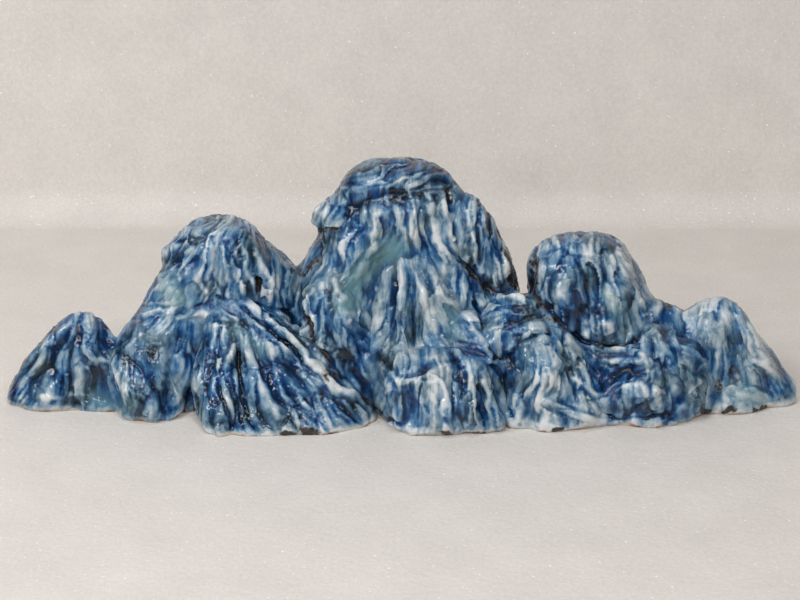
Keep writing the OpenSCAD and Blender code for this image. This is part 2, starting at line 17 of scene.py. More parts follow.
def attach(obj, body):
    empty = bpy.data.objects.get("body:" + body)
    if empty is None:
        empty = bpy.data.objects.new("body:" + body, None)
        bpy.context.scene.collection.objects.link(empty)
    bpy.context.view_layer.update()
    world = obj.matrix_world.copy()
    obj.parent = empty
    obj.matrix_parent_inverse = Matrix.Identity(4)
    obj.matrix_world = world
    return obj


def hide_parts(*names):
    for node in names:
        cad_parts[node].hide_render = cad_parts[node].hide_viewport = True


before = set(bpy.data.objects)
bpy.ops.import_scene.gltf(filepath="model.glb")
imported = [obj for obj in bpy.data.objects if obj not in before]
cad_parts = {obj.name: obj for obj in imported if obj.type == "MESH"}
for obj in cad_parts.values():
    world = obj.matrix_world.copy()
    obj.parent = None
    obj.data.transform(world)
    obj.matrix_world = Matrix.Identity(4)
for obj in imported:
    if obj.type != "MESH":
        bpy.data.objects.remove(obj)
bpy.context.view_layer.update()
MM = 0.001
print("lumps:", len(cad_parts))

# %% [markdown]
# ## The photograph's eye
# The camera stands in front of the row and looks down by 20 degrees. The script needs the same
# projection in numbers too, because creases and washes of glaze are placed where the photograph
# shows them: a point of clay is sent through the camera first, and the marks are drawn there.

# %% Where the camera stands
TILT = math.radians(20)
AIM = np.array([0.0, 0.0, 20.6])
DISTANCE = 430.0
FOCAL = 2131.0
FRAME_W, FRAME_H = 800, 600
PX_PER_MM = 4.9
LOOK = np.array([0.0, math.cos(TILT), -math.sin(TILT)])
RISE = np.array([0.0, math.sin(TILT), math.cos(TILT)])


def seen_at(points):
    """Pixels of the photograph at which points of clay, in millimetres, are seen."""
    rel = points - AIM
    depth = DISTANCE + rel @ LOOK
    across = FRAME_W / 2 + FOCAL * rel[:, 0] / depth
    down = FRAME_H / 2 - FOCAL * (rel @ RISE) / depth
    return np.stack([across, down], axis=1)


print("summit is seen at", seen_at(np.array([[0.0, 4.0, 48.8]])).round(1))

# %% [markdown]
# ## Noise to work the clay with
# Tool marks and running glaze are irregular, so the script needs a smooth random field. This one
# blends hashed values between the corners of a lattice. It depends on nothing but the place and a
# seed, so every run gives the same pot.


# %% A smooth random field
def scatter(ix, iy, iz, seed):
    """A hashed value from 0 to 1 for each whole cell of a lattice."""
    n = ix.astype(np.uint32) * np.uint32(374761393) + iy.astype(np.uint32) * np.uint32(668265263)
    n += iz.astype(np.uint32) * np.uint32(2246822519) + np.uint32(seed * 2654435761 % 2**32)
    n = (n ^ (n >> np.uint32(13))) * np.uint32(1274126177)
    return (n ^ (n >> np.uint32(16))).astype(np.float64) / 2**32


def field(points, seed):
    """Smooth values from -1 to 1, one lattice cell to a unit of length."""
    cell = np.floor(points).astype(np.int64)
    f = points - cell
    f = f * f * f * (f * (f * 6 - 15) + 10)
    total = np.zeros(len(points))
    for dx in (0, 1):
        for dy in (0, 1):
            for dz in (0, 1):
                w = (f[:, 0] if dx else 1 - f[:, 0]) * (f[:, 1] if dy else 1 - f[:, 1])
                w = w * (f[:, 2] if dz else 1 - f[:, 2])
                total += w * scatter(cell[:, 0] + dx, cell[:, 1] + dy, cell[:, 2] + dz, seed)
    return total * 2 - 1


def ramp(x, low, high):
    """0 below low, 1 above high, and a smooth step between."""
    t = np.clip((x - low) / (high - low), 0, 1)
    return t * t * (3 - 2 * t)


print("field check", field(np.array([[0.3, 0.7, 1.9]]), 3).round(3))

# %% [markdown]
# ## How the flutes run
# On each lump the tool marks spread from above its crown, as ribs on a fan. The centre of the fan is
# a pixel of the photograph: close by for a spreading skirt, far up for a block whose flutes hang
# straight down. Then come the spacing of the flutes, the length of one stroke and the depth of the
# tool work, in millimetres.

# %% Fan centre, spacing, stroke length and depth of every lump
FLUTES = {
    "far_left_hill": ((84, 285), 2.4, 4.5, 0.40),
    "far_left_spur": ((150, 160), 2.4, 4.6, 0.35),
    "left_crag": ((262, 90), 1.9, 5.0, 0.45),
    "left_shoulder": ((215, 190), 2.0, 5.0, 0.45),
    "left_apron": ((215, 262), 2.1, 6.0, 0.50),
    "centre_crag": ((402, 20), 2.3, 5.5, 0.42),
    "centre_side_crag": ((452, 40), 1.8, 5.5, 0.55),
    "centre_buttress": ((326, 215), 2.0, 3.8, 0.45),
    "centre_column": ((404, 215), 2.0, 6.0, 0.45),
    "centre_skirt": ((430, 100), 2.0, 5.5, 0.42),
    "lower_slab": ((420, 270), 2.2, 3.5, 0.40),
    "right_slab": ((505, 230), 2.8, 4.0, 0.38),
    "front_ridge": ((538, 262), 2.4, 5.0, 0.40),
    "right_boulder": ((572, 40), 2.4, 4.4, 0.40),
    "right_shoulder": ((640, 210), 2.4, 3.6, 0.48),
    "right_knuckle": ((632, 255), 2.8, 3.6, 0.50),
    "right_plate": ((676, 270), 2.0, 3.6, 0.35),
    "far_right_hill": ((715, 262), 2.4, 5.0, 0.32),
}
print("fluted lumps:", len(FLUTES))

# %% [markdown]
# ## Marks that belong to this rest
# The fans alone would give any mountain. These are the ridges, grooves and pits that make it this
# one, each drawn along a few points of the photograph, with a half-width in pixels and a height in
# millimetres that is negative for a groove. On the left they are the ribs of the small hill, the
# ledge and the pit of the crag, and the long folds of the apron.

# %% Ridges and grooves of the left half
LEFT_MARKS = {
    "hill flank rib": ([(80, 313), (62, 330), (48, 352), (34, 372), (14, 391)], 3.5, 0.5),
    "hill crooked rib": ([(84, 322), (84, 345), (90, 360), (106, 362)], 3, 0.7),
    "hill right groove": ([(95, 318), (100, 336), (112, 346), (122, 345)], 3, -0.7),
    "hill right rib": ([(112, 362), (119, 376), (127, 393)], 3, 0.6),
    "hill pit": ([(129, 386), (131, 399)], 2.5, -0.9),
    "hill foot ledge": ([(14, 398), (50, 397), (80, 394), (104, 405)], 3, 0.6),
    "spur rib": ([(132, 392), (150, 402), (151, 416)], 3, 0.5),
    "spur right edge": ([(176, 395), (178, 410), (178, 424)], 3, 0.5),
    "spur groove": ([(124, 352), (140, 372), (160, 392)], 3, -0.5),
    "crag ledge": ([(178, 243), (190, 238), (206, 240), (228, 241)], 2.5, -0.7),
    "crag knob": ([(168, 252), (174, 246)], 7, 1.1),
    "crag knob fold": ([(158, 270), (170, 263), (185, 257), (202, 262)], 3.5, -0.9),
    "crag long rib 1": ([(222, 240), (226, 268), (229, 292)], 3, 0.5),
    "crag long rib 2": ([(240, 232), (246, 260), (251, 284)], 3, 0.5),
    "crag long rib 3": ([(252, 238), (262, 268), (276, 292)], 3, 0.5),
    "crag pit": ([(257, 281), (257, 289)], 4, -1.6),
    "crag fold": ([(216, 295), (238, 301), (262, 304), (285, 312), (300, 326)], 3, -1.0),
    "shoulder rib": ([(176, 272), (188, 267), (200, 275), (206, 290)], 3, 0.6),
    "shoulder fold": ([(168, 309), (186, 309), (203, 303), (216, 299)], 3, -0.8),
    "apron top rib": ([(178, 319), (196, 311), (213, 312), (228, 318), (238, 321)], 3, 0.9),
    "apron outer rib": ([(222, 299), (243, 304), (266, 316), (286, 332), (303, 352), (317, 370),
                         (341, 388), (362, 402), (382, 428)], 4, 1.0),
    "apron second rib": ([(245, 319), (262, 332), (279, 345), (296, 361), (306, 376)], 4, 0.8),
    "apron groove": ([(240, 310), (262, 324), (283, 341), (302, 362)], 2.5, -1.0),
    "apron upper rib": ([(262, 305), (285, 319), (306, 342), (321, 362)], 2.5, 0.6),
    "apron lens": ([(234, 346), (230, 358), (226, 368)], 4, 1.0),
    "apron groove by lens": ([(238, 352), (239, 376), (241, 396), (248, 416)], 2.5, -1.0),
    "apron groove left": ([(221, 386), (224, 405), (232, 426)], 2.5, -0.9),
    "apron rib 1": ([(248, 352), (257, 374), (263, 394)], 3, 0.6),
    "apron rib 2": ([(262, 385), (270, 402), (277, 416)], 3, 0.6),
    "apron rib 3": ([(222, 378), (229, 400), (233, 418)], 3, 0.6),
    "apron rib 4": ([(290, 378), (301, 400), (316, 416)], 3, 0.5),
    "apron rib 5": ([(268, 345), (276, 368), (284, 398), (296, 420)], 3, 0.5),
    "recess": ([(190, 392), (191, 424)], 9, -1.2),
    "crevice": ([(302, 288), (304, 315), (318, 345), (334, 365), (346, 381), (362, 399), (386, 418),
                 (400, 426)], 4, -1.2),
}
print("marks on the left:", len(LEFT_MARKS))

# %% [markdown]
# The centre has the overhang under its cap, two arched lobes on the face, the ribs of the column,
# and the ragged ledge where the low skirt was luted on.

# %% Ridges and grooves of the centre
CENTRE_MARKS = {
    "overhang": ([(345, 217), (358, 206), (372, 197), (392, 191), (412, 193), (430, 189),
                  (443, 182)], 4.5, -0.5),
    "cap lip": ([(350, 186), (372, 182), (396, 180), (425, 177), (444, 172)], 5, 0.2),
    "knob underside": ([(314, 227), (325, 231), (339, 228)], 2.5, -1.1),
    "left face lobe": ([(356, 212), (346, 232), (342, 250)], 4, 0.4),
    "arch 1": ([(374, 250), (376, 226), (385, 205), (396, 207), (403, 228), (408, 250)], 4, 0.4),
    "arch 2": ([(411, 238), (412, 212), (418, 202), (428, 210), (436, 240), (446, 270)], 4, 0.4),
    "arch gap": ([(402, 205), (406, 220), (408, 240)], 2.5, -0.7),
    "face rib": ([(441, 186), (446, 215), (452, 246), (462, 274)], 3.5, 0.5),
    "face crevice": ([(448, 190), (452, 218), (458, 256), (470, 272), (492, 292)], 3, -1.3),
    "side rib 1": ([(466, 208), (472, 240), (480, 272)], 3, 0.6),
    "side rib 2": ([(480, 210), (487, 240), (500, 270)], 3, 0.6),
    "side dark face": ([(505, 246), (512, 282)], 5, -0.5),
    "side foot crevice": ([(462, 268), (478, 281), (496, 291), (514, 291)], 3.5, -1.0),
    "buttress arch": ([(306, 318), (309, 292), (322, 280), (336, 284), (344, 300)], 3, 0.7),
    "column rib 1": ([(394, 262), (386, 285), (378, 312), (374, 346)], 3.5, 0.45),
    "column rib 2": ([(401, 262), (402, 300), (402, 338)], 3.5, 0.5),
    "column rib 3": ([(412, 261), (420, 290), (430, 316), (437, 336)], 3.5, 0.5),
    "column rib 4": ([(424, 258), (437, 285), (449, 301)], 3.5, 0.45),
    "column groove 1": ([(396, 270), (393, 300), (391, 346)], 2.2, -0.6),
    "column groove 2": ([(409, 272), (414, 310), (414, 350)], 2.5, -0.5),
    "column groove 3": ([(427, 272), (439, 300), (456, 320)], 2.5, -0.6),
    "ledge": ([(356, 343), (376, 357), (391, 366), (401, 376), (413, 376), (426, 368), (446, 361),
               (470, 357), (486, 359)], 6, -0.95),
    "skirt rim": ([(372, 352), (386, 369), (400, 382), (414, 380), (430, 373), (444, 368), (460, 362),
                   (480, 363), (488, 373)], 3.5, 0.55),
    "skirt rib 1": ([(424, 384), (424, 402)], 3, 0.6),
    "skirt rib 2": ([(434, 376), (447, 395), (451, 416)], 3, 0.7),
    "skirt rib 3": ([(470, 380), (471, 422)], 3, 0.8),
    "skirt rib 4": ([(484, 380), (489, 405), (496, 426)], 3, 0.7),
    "skirt rib 5": ([(386, 372), (393, 396), (398, 420)], 3, 0.6),
    "skirt groove 1": ([(430, 386), (441, 402), (446, 422)], 2.2, -0.8),
    "skirt groove 2": ([(463, 374), (465, 418)], 2.2, -0.8),
    "skirt groove 3": ([(477, 386), (479, 420)], 2.2, -0.7),
    "skirt groove 4": ([(410, 386), (410, 412)], 2.2, -0.7),
}
print("marks in the centre:", len(CENTRE_MARKS))

# %% [markdown]
# The right half has leaves and bosses more than flutes: two leaves beside the column, a boulder with
# a crevice under it, a front ridge, and the knuckle before the last saddle.

# %% Ridges and grooves of the right half
RIGHT_MARKS = {
    "lower leaf rim": ([(441, 336), (447, 347), (459, 354), (476, 358), (490, 360)], 2.5, 0.8),
    "lower leaf edge": ([(470, 321), (481, 340), (490, 357)], 2.5, 0.7),
    "leaf gap": ([(474, 302), (482, 320), (487, 340), (494, 356)], 2.8, -1.3),
    "leaf top": ([(478, 303), (493, 298), (515, 297), (531, 303), (546, 317)], 3, 0.7),
    "leaf fold": ([(484, 321), (502, 325), (520, 323), (536, 317)], 2.2, -0.6),
    "leaf belly": ([(488, 331), (506, 334), (522, 330)], 3, 0.5),
    "leaf lip": ([(498, 352), (512, 347), (520, 338), (532, 331), (546, 329)], 2.5, 0.2),
    "leaf underside": ([(500, 358), (513, 353), (522, 343), (534, 336), (548, 334)], 2.2, -1.2),
    "boulder cap fold": ([(546, 253), (560, 250), (576, 254), (592, 258)], 2.2, -0.6),
    "boulder left side": ([(537, 250), (535, 280), (541, 306)], 5, -0.6),
    "boulder flank rib 1": ([(612, 258), (624, 274), (640, 300), (656, 320)], 3.5, 0.35),
    "boulder flank rib 2": ([(628, 266), (638, 284), (652, 304)], 3.5, 0.35),
    "boulder bump 1": ([(586, 331), (589, 333)], 4.5, 0.9),
    "boulder bump 2": ([(604, 325), (610, 328)], 5, 0.9),
    "boulder pit 1": ([(596, 334), (597, 336)], 2.8, -0.8),
    "boulder pit 2": ([(613, 333), (615, 336)], 3, -0.8),
    "boulder foot crevice": ([(545, 300), (556, 318), (572, 332), (590, 343), (612, 347),
                              (632, 341)], 4, -1.4),
    "shoulder right rib 1": ([(642, 315), (656, 312), (669, 331)], 3, 0.6),
    "shoulder right rib 2": ([(630, 336), (650, 329), (666, 339)], 3, 0.6),
    "saddle pit": ([(685, 324), (687, 333)], 4.5, -1.2),
    "ridge face": ([(541, 340), (546, 365), (546, 394)], 7, 0.3),
    "ridge left fold": ([(501, 362), (511, 380), (531, 396), (553, 409), (576, 413)], 3, 0.35),
    "ridge toe": ([(546, 400), (566, 412), (600, 419)], 3, 0.25),
    "ridge groove": ([(562, 335), (566, 360), (571, 382), (576, 402)], 2.6, -0.9),
    "ridge left crevice": ([(491, 363), (500, 376), (505, 396), (512, 416)], 3.5, -1.2),
    "knuckle top": ([(562, 330), (581, 342), (600, 351), (625, 349)], 3, 0.6),
    "knuckle rib 1": ([(612, 363), (630, 360), (641, 364)], 3, 0.7),
    "knuckle rib 2": ([(574, 379), (590, 389), (606, 401)], 3.5, 0.8),
    "knuckle fold": ([(598, 386), (612, 376), (630, 369), (642, 366)], 2.6, -0.9),
    "knuckle rib 3": ([(625, 386), (640, 383), (649, 393)], 4, 0.6),
    "knuckle right rib": ([(632, 346), (646, 361), (656, 386), (660, 410)], 3, 0.6),
    "knuckle hollow": ([(592, 368), (604, 388)], 6, -0.7),
    "knuckle foot fold": ([(600, 412), (620, 418), (645, 418), (666, 411)], 3, -1.0),
    "plate edge": ([(668, 346), (690, 352), (702, 362), (698, 378), (685, 396), (677, 411)], 3, 0.7),
    "plate groove": ([(664, 358), (665, 402)], 2.5, -0.8),
    "right hill rib 1": ([(706, 302), (700, 330), (690, 352)], 3, 0.5),
    "right hill rib 2": ([(722, 302), (722, 332), (716, 365), (712, 386)], 3, 0.5),
    "right hill rib 3": ([(735, 306), (746, 332), (757, 360), (776, 379)], 3, 0.5),
    "right hill toe fold": ([(738, 386), (750, 393), (763, 391)], 3, -0.4),
}
print("marks on the right:", len(RIGHT_MARKS))

# %% [markdown]
# ## Pools of green glaze
# Some colour doesn't follow the relief. Green glaze has run together in the valley of the centre and
# in a few hollows. Each wash is a soft patch along a line of pixels, with a half-width in pixels and
# a strength up to 1.

# %% Green pools
POOLS = {
    "valley": ([(396, 247), (374, 260), (357, 280), (346, 306)], 11, 0.95),
    "shoulder": ([(168, 292), (176, 300)], 10, 0.8),
    "apron head": ([(236, 330), (262, 352)], 8, 0.45),
    "hill foot": ([(96, 400), (118, 408)], 10, 0.6),
    "boulder": ([(610, 300), (622, 315)], 8, 0.5),
    "leaf": ([(446, 310), (456, 330)], 8, 0.6),
    "right hill": ([(740, 392), (755, 402)], 12, 0.6),
}
print("pools:", len(POOLS))

# %% [markdown]
# ## Thick cobalt and painted shade
# Under the cap, behind the ledge and in the hollow of the knuckle the blue lies so thick that the
# clay doesn't show through. There, and along the crevice at the side foot, this dark blue is also
# painted shade.

# %% Patches of thick cobalt and painted shade
THICK_COBALT_AND_SHADE = {
    "under the cap": ([(348, 213), (362, 203), (376, 196)], 9, 1.0),
    "cap left": ([(350, 168), (352, 178)], 7, 0.7),
    "valley left": ([(345, 352), (360, 390)], 13, 0.85),
    "ledge": ([(366, 350), (392, 366), (424, 368), (450, 358), (480, 357)], 7, 0.85),
    "side foot": ([(462, 268), (480, 284), (508, 290)], 8, 0.7),
    "boulder brow": ([(560, 266), (590, 262)], 6, 0.6),
    "boulder belly": ([(568, 312), (606, 312)], 8, 0.8),
    "knuckle": ([(594, 368), (604, 388)], 9, 0.9),
    "right toe": ([(772, 380), (780, 396)], 10, 0.85),
    "hill": ([(98, 330), (112, 345)], 9, 0.6),
    "apron foot": ([(236, 420), (255, 424)], 8, 0.6),
    "apron belly": ([(315, 405), (345, 412)], 10, 0.6),
    "column": ([(413, 316), (414, 345)], 4, 0.6),
    "ridge stripe": ([(552, 404), (566, 411), (580, 415)], 6, 0.5),
    "lower right": ([(700, 340), (698, 355)], 6, 0.7),
}
print("cobalt patches:", len(THICK_COBALT_AND_SHADE))

# %% [markdown]
# ## Iron and painted shade
# Iron has bled out where the glaze is thin or missing: at the neck of the centre, in the crevices,
# and in spots along the foot where kiln grit stuck. In the crevices, pits and recesses, under the
# knob and in the gap of the leaf, the near-black is painted shade as well.

# %% Iron spots, and painted shade in crevices
IRON_AND_CREVICE_SHADE = {
    "neck": ([(303, 274), (312, 268), (318, 262)], 5, 0.7),
    "knob underside": ([(318, 229), (336, 228)], 2.5, 0.8),
    "side": ([(508, 250), (512, 284)], 5, 0.9),
    "side edge": ([(486, 224), (489, 232)], 4, 0.8),
    "side foot": ([(462, 268), (478, 284), (508, 288)], 4, 0.5),
    "boulder side": ([(536, 256), (534, 290), (544, 312)], 6, 0.75),
    "boulder foot": ([(552, 318), (566, 330)], 5, 0.7),
    "crevice": ([(303, 290), (310, 330), (334, 372), (360, 398), (392, 420)], 3, 0.7),
    "crevice spot": ([(324, 374), (327, 377)], 5, 0.9),
    "recess": ([(184, 398), (184, 423)], 3, 0.9),
    "recess 2": ([(197, 396), (198, 422)], 3, 0.7),
    "right hill": ([(733, 368), (738, 374)], 8, 0.6),
    "right hill 2": ([(716, 382), (722, 392)], 6, 0.6),
    "foot left": ([(284, 434), (295, 436)], 4, 0.9),
    "foot middle": ([(304, 432), (314, 434)], 7, 1.0),
    "foot 3": ([(330, 434), (345, 435)], 3, 0.8),
    "foot 4": ([(444, 433), (450, 433)], 4, 0.9),
    "foot 5": ([(474, 434), (486, 435)], 3, 0.7),
    "foot 6": ([(554, 431), (562, 430)], 4, 0.8),
    "foot 7": ([(632, 428), (638, 428)], 3, 0.8),
    "foot 8": ([(701, 411), (707, 411)], 4, 0.9),
    "foot 9": ([(724, 411), (734, 409)], 4, 0.95),
    "foot 10": ([(757, 411), (766, 411)], 5, 0.95),
    "crag pit": ([(257, 282), (257, 288)], 4, 0.9),
    "boulder pit": ([(596, 335), (603, 337), (612, 335)], 2.6, 0.45),
    "saddle pit": ([(684, 325), (686, 332)], 3, 0.8),
    "leaf gap": ([(482, 322), (490, 350), (500, 358)], 2.6, 0.8),
}
print("iron spots:", len(IRON_AND_CREVICE_SHADE))

# %% [markdown]
# ## How the white lies
# Some lumps carry more white than others: the first table shifts the tone of a whole lump, up for
# white. On the column, the skirt and the last hill the white is spread evenly, so the colour follows
# the relief less there. The cap of the centre carries a broad bluer band.

# %% White on each lump
WHITENESS = {
    "far_left_hill": -0.12,
    "far_left_spur": -0.08,
    "left_crag": 0.03,
    "left_apron": -0.03,
    "centre_crag": 0.02,
    "centre_column": 0.11,
    "centre_skirt": 0.05,
    "right_boulder": 0.02,
    "front_ridge": 0.07,
    "right_knuckle": -0.05,
    "far_right_hill": 0.17,
}
CALM = {"centre_column": 0.55, "centre_skirt": 0.75, "far_right_hill": 0.75}
CAP = ([(352, 176), (376, 170), (408, 170), (440, 178)], 16)
CAP_BLUE = 0.21
print("lumps with a tone of their own:", len(WHITENESS))

# %% [markdown]
# ## Where the tool turned
# In places the strokes leave the fan: they run round the cap, along the crest of the apron and down
# the valley. Each sweep names its lump, a line of pixels, a half-width in pixels, and the slope of
# the strokes in degrees.

# %% Sweeps across the fan
SWEEPS = {
    "cap": ("centre_crag", [(350, 178), (375, 172), (405, 172), (440, 180)], 17, 24),
    "knob": ("centre_crag", [(318, 212), (336, 216)], 12, 60),
    "valley": ("centre_crag", [(392, 246), (366, 264), (350, 288)], 13, 52),
    "shoulder": ("left_shoulder", [(140, 312), (180, 308), (214, 300)], 8, 8),
    "apron head": ("left_apron", [(178, 322), (210, 312), (236, 320)], 10, 12),
    "apron crest": ("left_apron", [(230, 308), (262, 322), (300, 356), (340, 392), (376, 424)], 13, -42),
    "leaf": ("right_slab", [(486, 316), (515, 318), (542, 320)], 14, 5),
    "lower leaf": ("lower_slab", [(446, 340), (470, 352), (490, 358)], 9, -18),
    "knuckle": ("right_knuckle", [(566, 340), (600, 356), (630, 352)], 12, -12),
    "knuckle belly": ("right_knuckle", [(600, 392), (625, 376), (640, 372)], 10, 35),
    "right foot": ("far_right_hill", [(735, 392), (765, 396)], 9, -12),
    "ridge toe": ("front_ridge", [(546, 404), (572, 414), (598, 419)], 7, -15),
}
print("sweeps:", len(SWEEPS))

# %% [markdown]
# ## Drawing on the clay
# A mark is strongest on its line and fades to the sides like a bell curve, as a round tool leaves
# clay. Washes are drawn with the same brush, and stay on the side that the photograph shows.


# %% Draw a line of marks on the clay
def brush(pixels, line, half_width):
    """How strongly a line of the photograph covers each pixel, from 0 to 1."""
    line = np.array(line, dtype=float)
    nearest = np.full(len(pixels), 1e9)
    for a, b in zip(line[:-1], line[1:]):
        along = np.clip(((pixels - a) @ (b - a)) / max((b - a) @ (b - a), 1e-6), 0, 1)
        nearest = np.minimum(nearest, np.linalg.norm(pixels - a - along[:, None] * (b - a), axis=1))
    return np.exp(-(nearest / half_width) ** 2)


def washed(pixels, front, washes):
    """The strongest of several washes at each pixel."""
    cover = np.zeros(len(pixels))
    for line, half_width, strength in washes.values():
        cover = np.maximum(cover, strength * brush(pixels, line, half_width))
    return cover * front


print("brush at its edge:", brush(np.array([[5.0, 3.0]]), [(0, 0), (10, 0)], 3).round(2))

# %% [markdown]
# ## From a faceted lump to worked clay
# The CAD lumps are coarse on purpose. Subdividing would keep the long thin triangles of the loft. A
# voxel remesh gives small squares of one size, which take relief evenly, in one closed surface.

# %% Fine skin over a lump
SKIN = 0.30


def fine_skin(name):
    """A closed, evenly meshed copy of a CAD lump, as a new object."""
    piece = bpy.data.objects.new(name + "_glazed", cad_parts[name].data.copy())
    bpy.context.collection.objects.link(piece)
    remesh = piece.modifiers.new("skin", "REMESH")
    remesh.mode = "VOXEL"
    remesh.voxel_size = SKIN * MM
    remesh.use_smooth_shade = True
    seen = piece.evaluated_get(bpy.context.evaluated_depsgraph_get())
    skin = bpy.data.meshes.new_from_object(seen)
    piece.modifiers.clear()
    piece.data = skin
    skin.materials.clear()
    return piece


print("skin cell:", SKIN, "mm")

# %% [markdown]
# ## Handling the mesh as numbers
# The relief is worked out for all points at once, so the mesh is read into arrays and written back.
# Relaxing averages each value with its neighbours: on places it rubs the facets away, and on heights
# it softens them as melting glaze does.


# %% Read, write and relax a mesh
def read(things, what, width, kind=np.float32):
    """One property of all points or edges, as rows of numbers."""
    flat = np.empty(len(things) * width, dtype=kind)
    things.foreach_get(what, flat)
    return flat.reshape(-1, width)


def corners(mesh):
    """The places of a mesh's points, in millimetres."""
    return read(mesh.vertices, "co", 3).astype(float) / MM


def place(mesh, points):
    mesh.vertices.foreach_set("co", (points * MM).astype(np.float32).ravel())
    mesh.update()


def ties(mesh):
    """The pairs of points that share an edge, and how many edges each point has."""
    pairs = read(mesh.edges, "vertices", 2, np.int32)
    count = np.bincount(pairs.ravel(), minlength=len(mesh.vertices)).astype(float)
    return pairs, np.maximum(count, 1)


def relax(values, pairs, count, rounds):
    """Averages each value with those around it, again and again."""
    if values.ndim == 2:
        return np.stack([relax(v, pairs, count, rounds) for v in values.T], 1)
    for _ in range(rounds):
        total = np.bincount(pairs[:, 0], values[pairs[:, 1]], len(values))
        total += np.bincount(pairs[:, 1], values[pairs[:, 0]], len(values))
        values = values * 0.4 + total / count * 0.6
    return values


def keep(mesh, name, values):
    """Stores a number per point of the mesh, for the glaze to read."""
    layer = mesh.attributes.new(name, "FLOAT", "POINT")
    layer.data.foreach_set("value", values.astype(np.float32))


edge = np.array([[0, 1], [1, 2]])
print("relaxed step:", relax(np.array([0.0, 0.0, 1.0]), edge, np.array([1.0, 2.0, 1.0]), 1).round(2))

# %% [markdown]
# ## Where lumps meet
# A potter presses clay into the seam between two lumps, and dark glaze gathers there; the seam is
# also darkened as painted shade. So a search tree over the neighbours' CAD faces tells how far each
# point is from the nearest other lump.

# %% How close each lump is to its neighbours
REACH = 5.0
raw = {}
for name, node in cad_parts.items():
    mesh = node.data
    points = corners(mesh)
    mesh.calc_loop_triangles()
    faces = [tuple(t.vertices) for t in mesh.loop_triangles]
    raw[name] = SimpleNamespace(points=points, faces=faces, low=points.min(0), high=points.max(0))


def seam_distance(name, points):
    """Distance in millimetres from each point to the nearest other lump, up to the reach."""
    low, high = raw[name].low - REACH, raw[name].high + REACH
    verts, faces = [], []
    for other, lump in raw.items():
        if other != name and (lump.low < high).all() and (lump.high > low).all():
            faces += [tuple(i + len(verts) for i in t) for t in lump.faces]
            verts += [tuple(v) for v in lump.points]
    tree = BVHTree.FromPolygons(verts, faces)
    out = np.full(len(points), REACH)
    for i, p in enumerate(points):
        hit = tree.find_nearest(p, REACH)
        if hit[3] is not None:
            out[i] = hit[3]
    return out


print("neighbours ready for", len(raw))

# %% [markdown]
# ## Strokes of the tool
# Up close the clay is covered with overlapping strokes, each a shallow ellipse that leans to one
# side. Noise alone gives waves without edges, so each cell of a wandering grid holds one stroke,
# with its own size, place and lean, and the topmost wins. Each carries a tone too, since thick
# glaze follows the strokes.

# %% Lay strokes over each other
STROKE_HALF_LENGTH = (0.7, 0.4)
STROKE_HALF_WIDTH = (0.35, 0.5)
STROKE_BEND = 0.9
STROKE_LEAN = 0.7


def strokes(turn, along, radius_of, sway, pitch, length, seed):
    """Height inside the topmost stroke at each point, and that stroke's tone."""
    row = np.floor(along / length).astype(np.int64)
    on_top, height, tone = (np.full(len(turn), -1.0), np.zeros(len(turn)), np.zeros(len(turn)))
    for down in (-1, 0, 1):
        j = row + down
        across = (turn * radius_of((j + 0.5) * length) + sway) / pitch
        column = np.floor(across).astype(np.int64)
        for right in (-1, 0, 1):
            i = column + right
            chance = [scatter(i, j, np.full_like(i, k), seed) for k in range(6)]
            lean, fade, shade = ((chance[k] * stir % 1) * 2 - 1 for k, stir in ((3, 5.7), (1, 9.1), (0, 7.3)))
            long_way = STROKE_HALF_LENGTH[0] + STROKE_HALF_LENGTH[1] * chance[2]
            wide_way = STROKE_HALF_WIDTH[0] + STROKE_HALF_WIDTH[1] * chance[5]
            v = (along / length - j - chance[1]) / long_way
            u = (across - i - chance[3] - (chance[4] - 0.5) * STROKE_BEND * v * v) / wide_way
            inside = np.maximum(1 - u * u - v * v, 0)
            over = (inside > 0) & (chance[0] > on_top)
            wash = shade + 0.7 * lean * u + 0.5 * fade * v + 0.6 * inside - 0.3
            height = np.where(over, np.sqrt(inside) * (1 + STROKE_LEAN * lean * u), height)
            tone = np.where(over, wash, tone)
            on_top = np.where(over, chance[0], on_top)
    return height, tone


flat = np.zeros(3)
print("stroke check", strokes(flat, flat + 2.0, lambda r: 1.0, np.arange(3.0), 2.0, 5.0, 9)[0].round(3))

# %% [markdown]
# ## The lay of the tool on one lump
# Strokes need two directions: across and along the flutes. In front they come from the fan, and at
# the back, which the photograph doesn't show, the flutes fall from crown to foot. A slow wander
# keeps them from running like ruled lines.

# %% Across and along the flutes
WANDER = ((8, 11, 1.5), (3, 12, 0.45))
DRIFT = (5, 13, 1.5)
UNSTEADY_HAND = ((2.6, 61, 2.4), (1.1, 63, 1.0))


def sway_of(points, own, cell, seed, reach):
    return field(points / cell + own, seed) * reach


def wavering(pixels, points):
    """The same pixels, shifted as an unsteady hand would."""
    sway = np.zeros_like(pixels)
    for cell, seed, reach in UNSTEADY_HAND:
        sway += np.stack([field(points / cell, seed), field(points / cell, seed + 1)], 1) * reach
    return pixels + sway


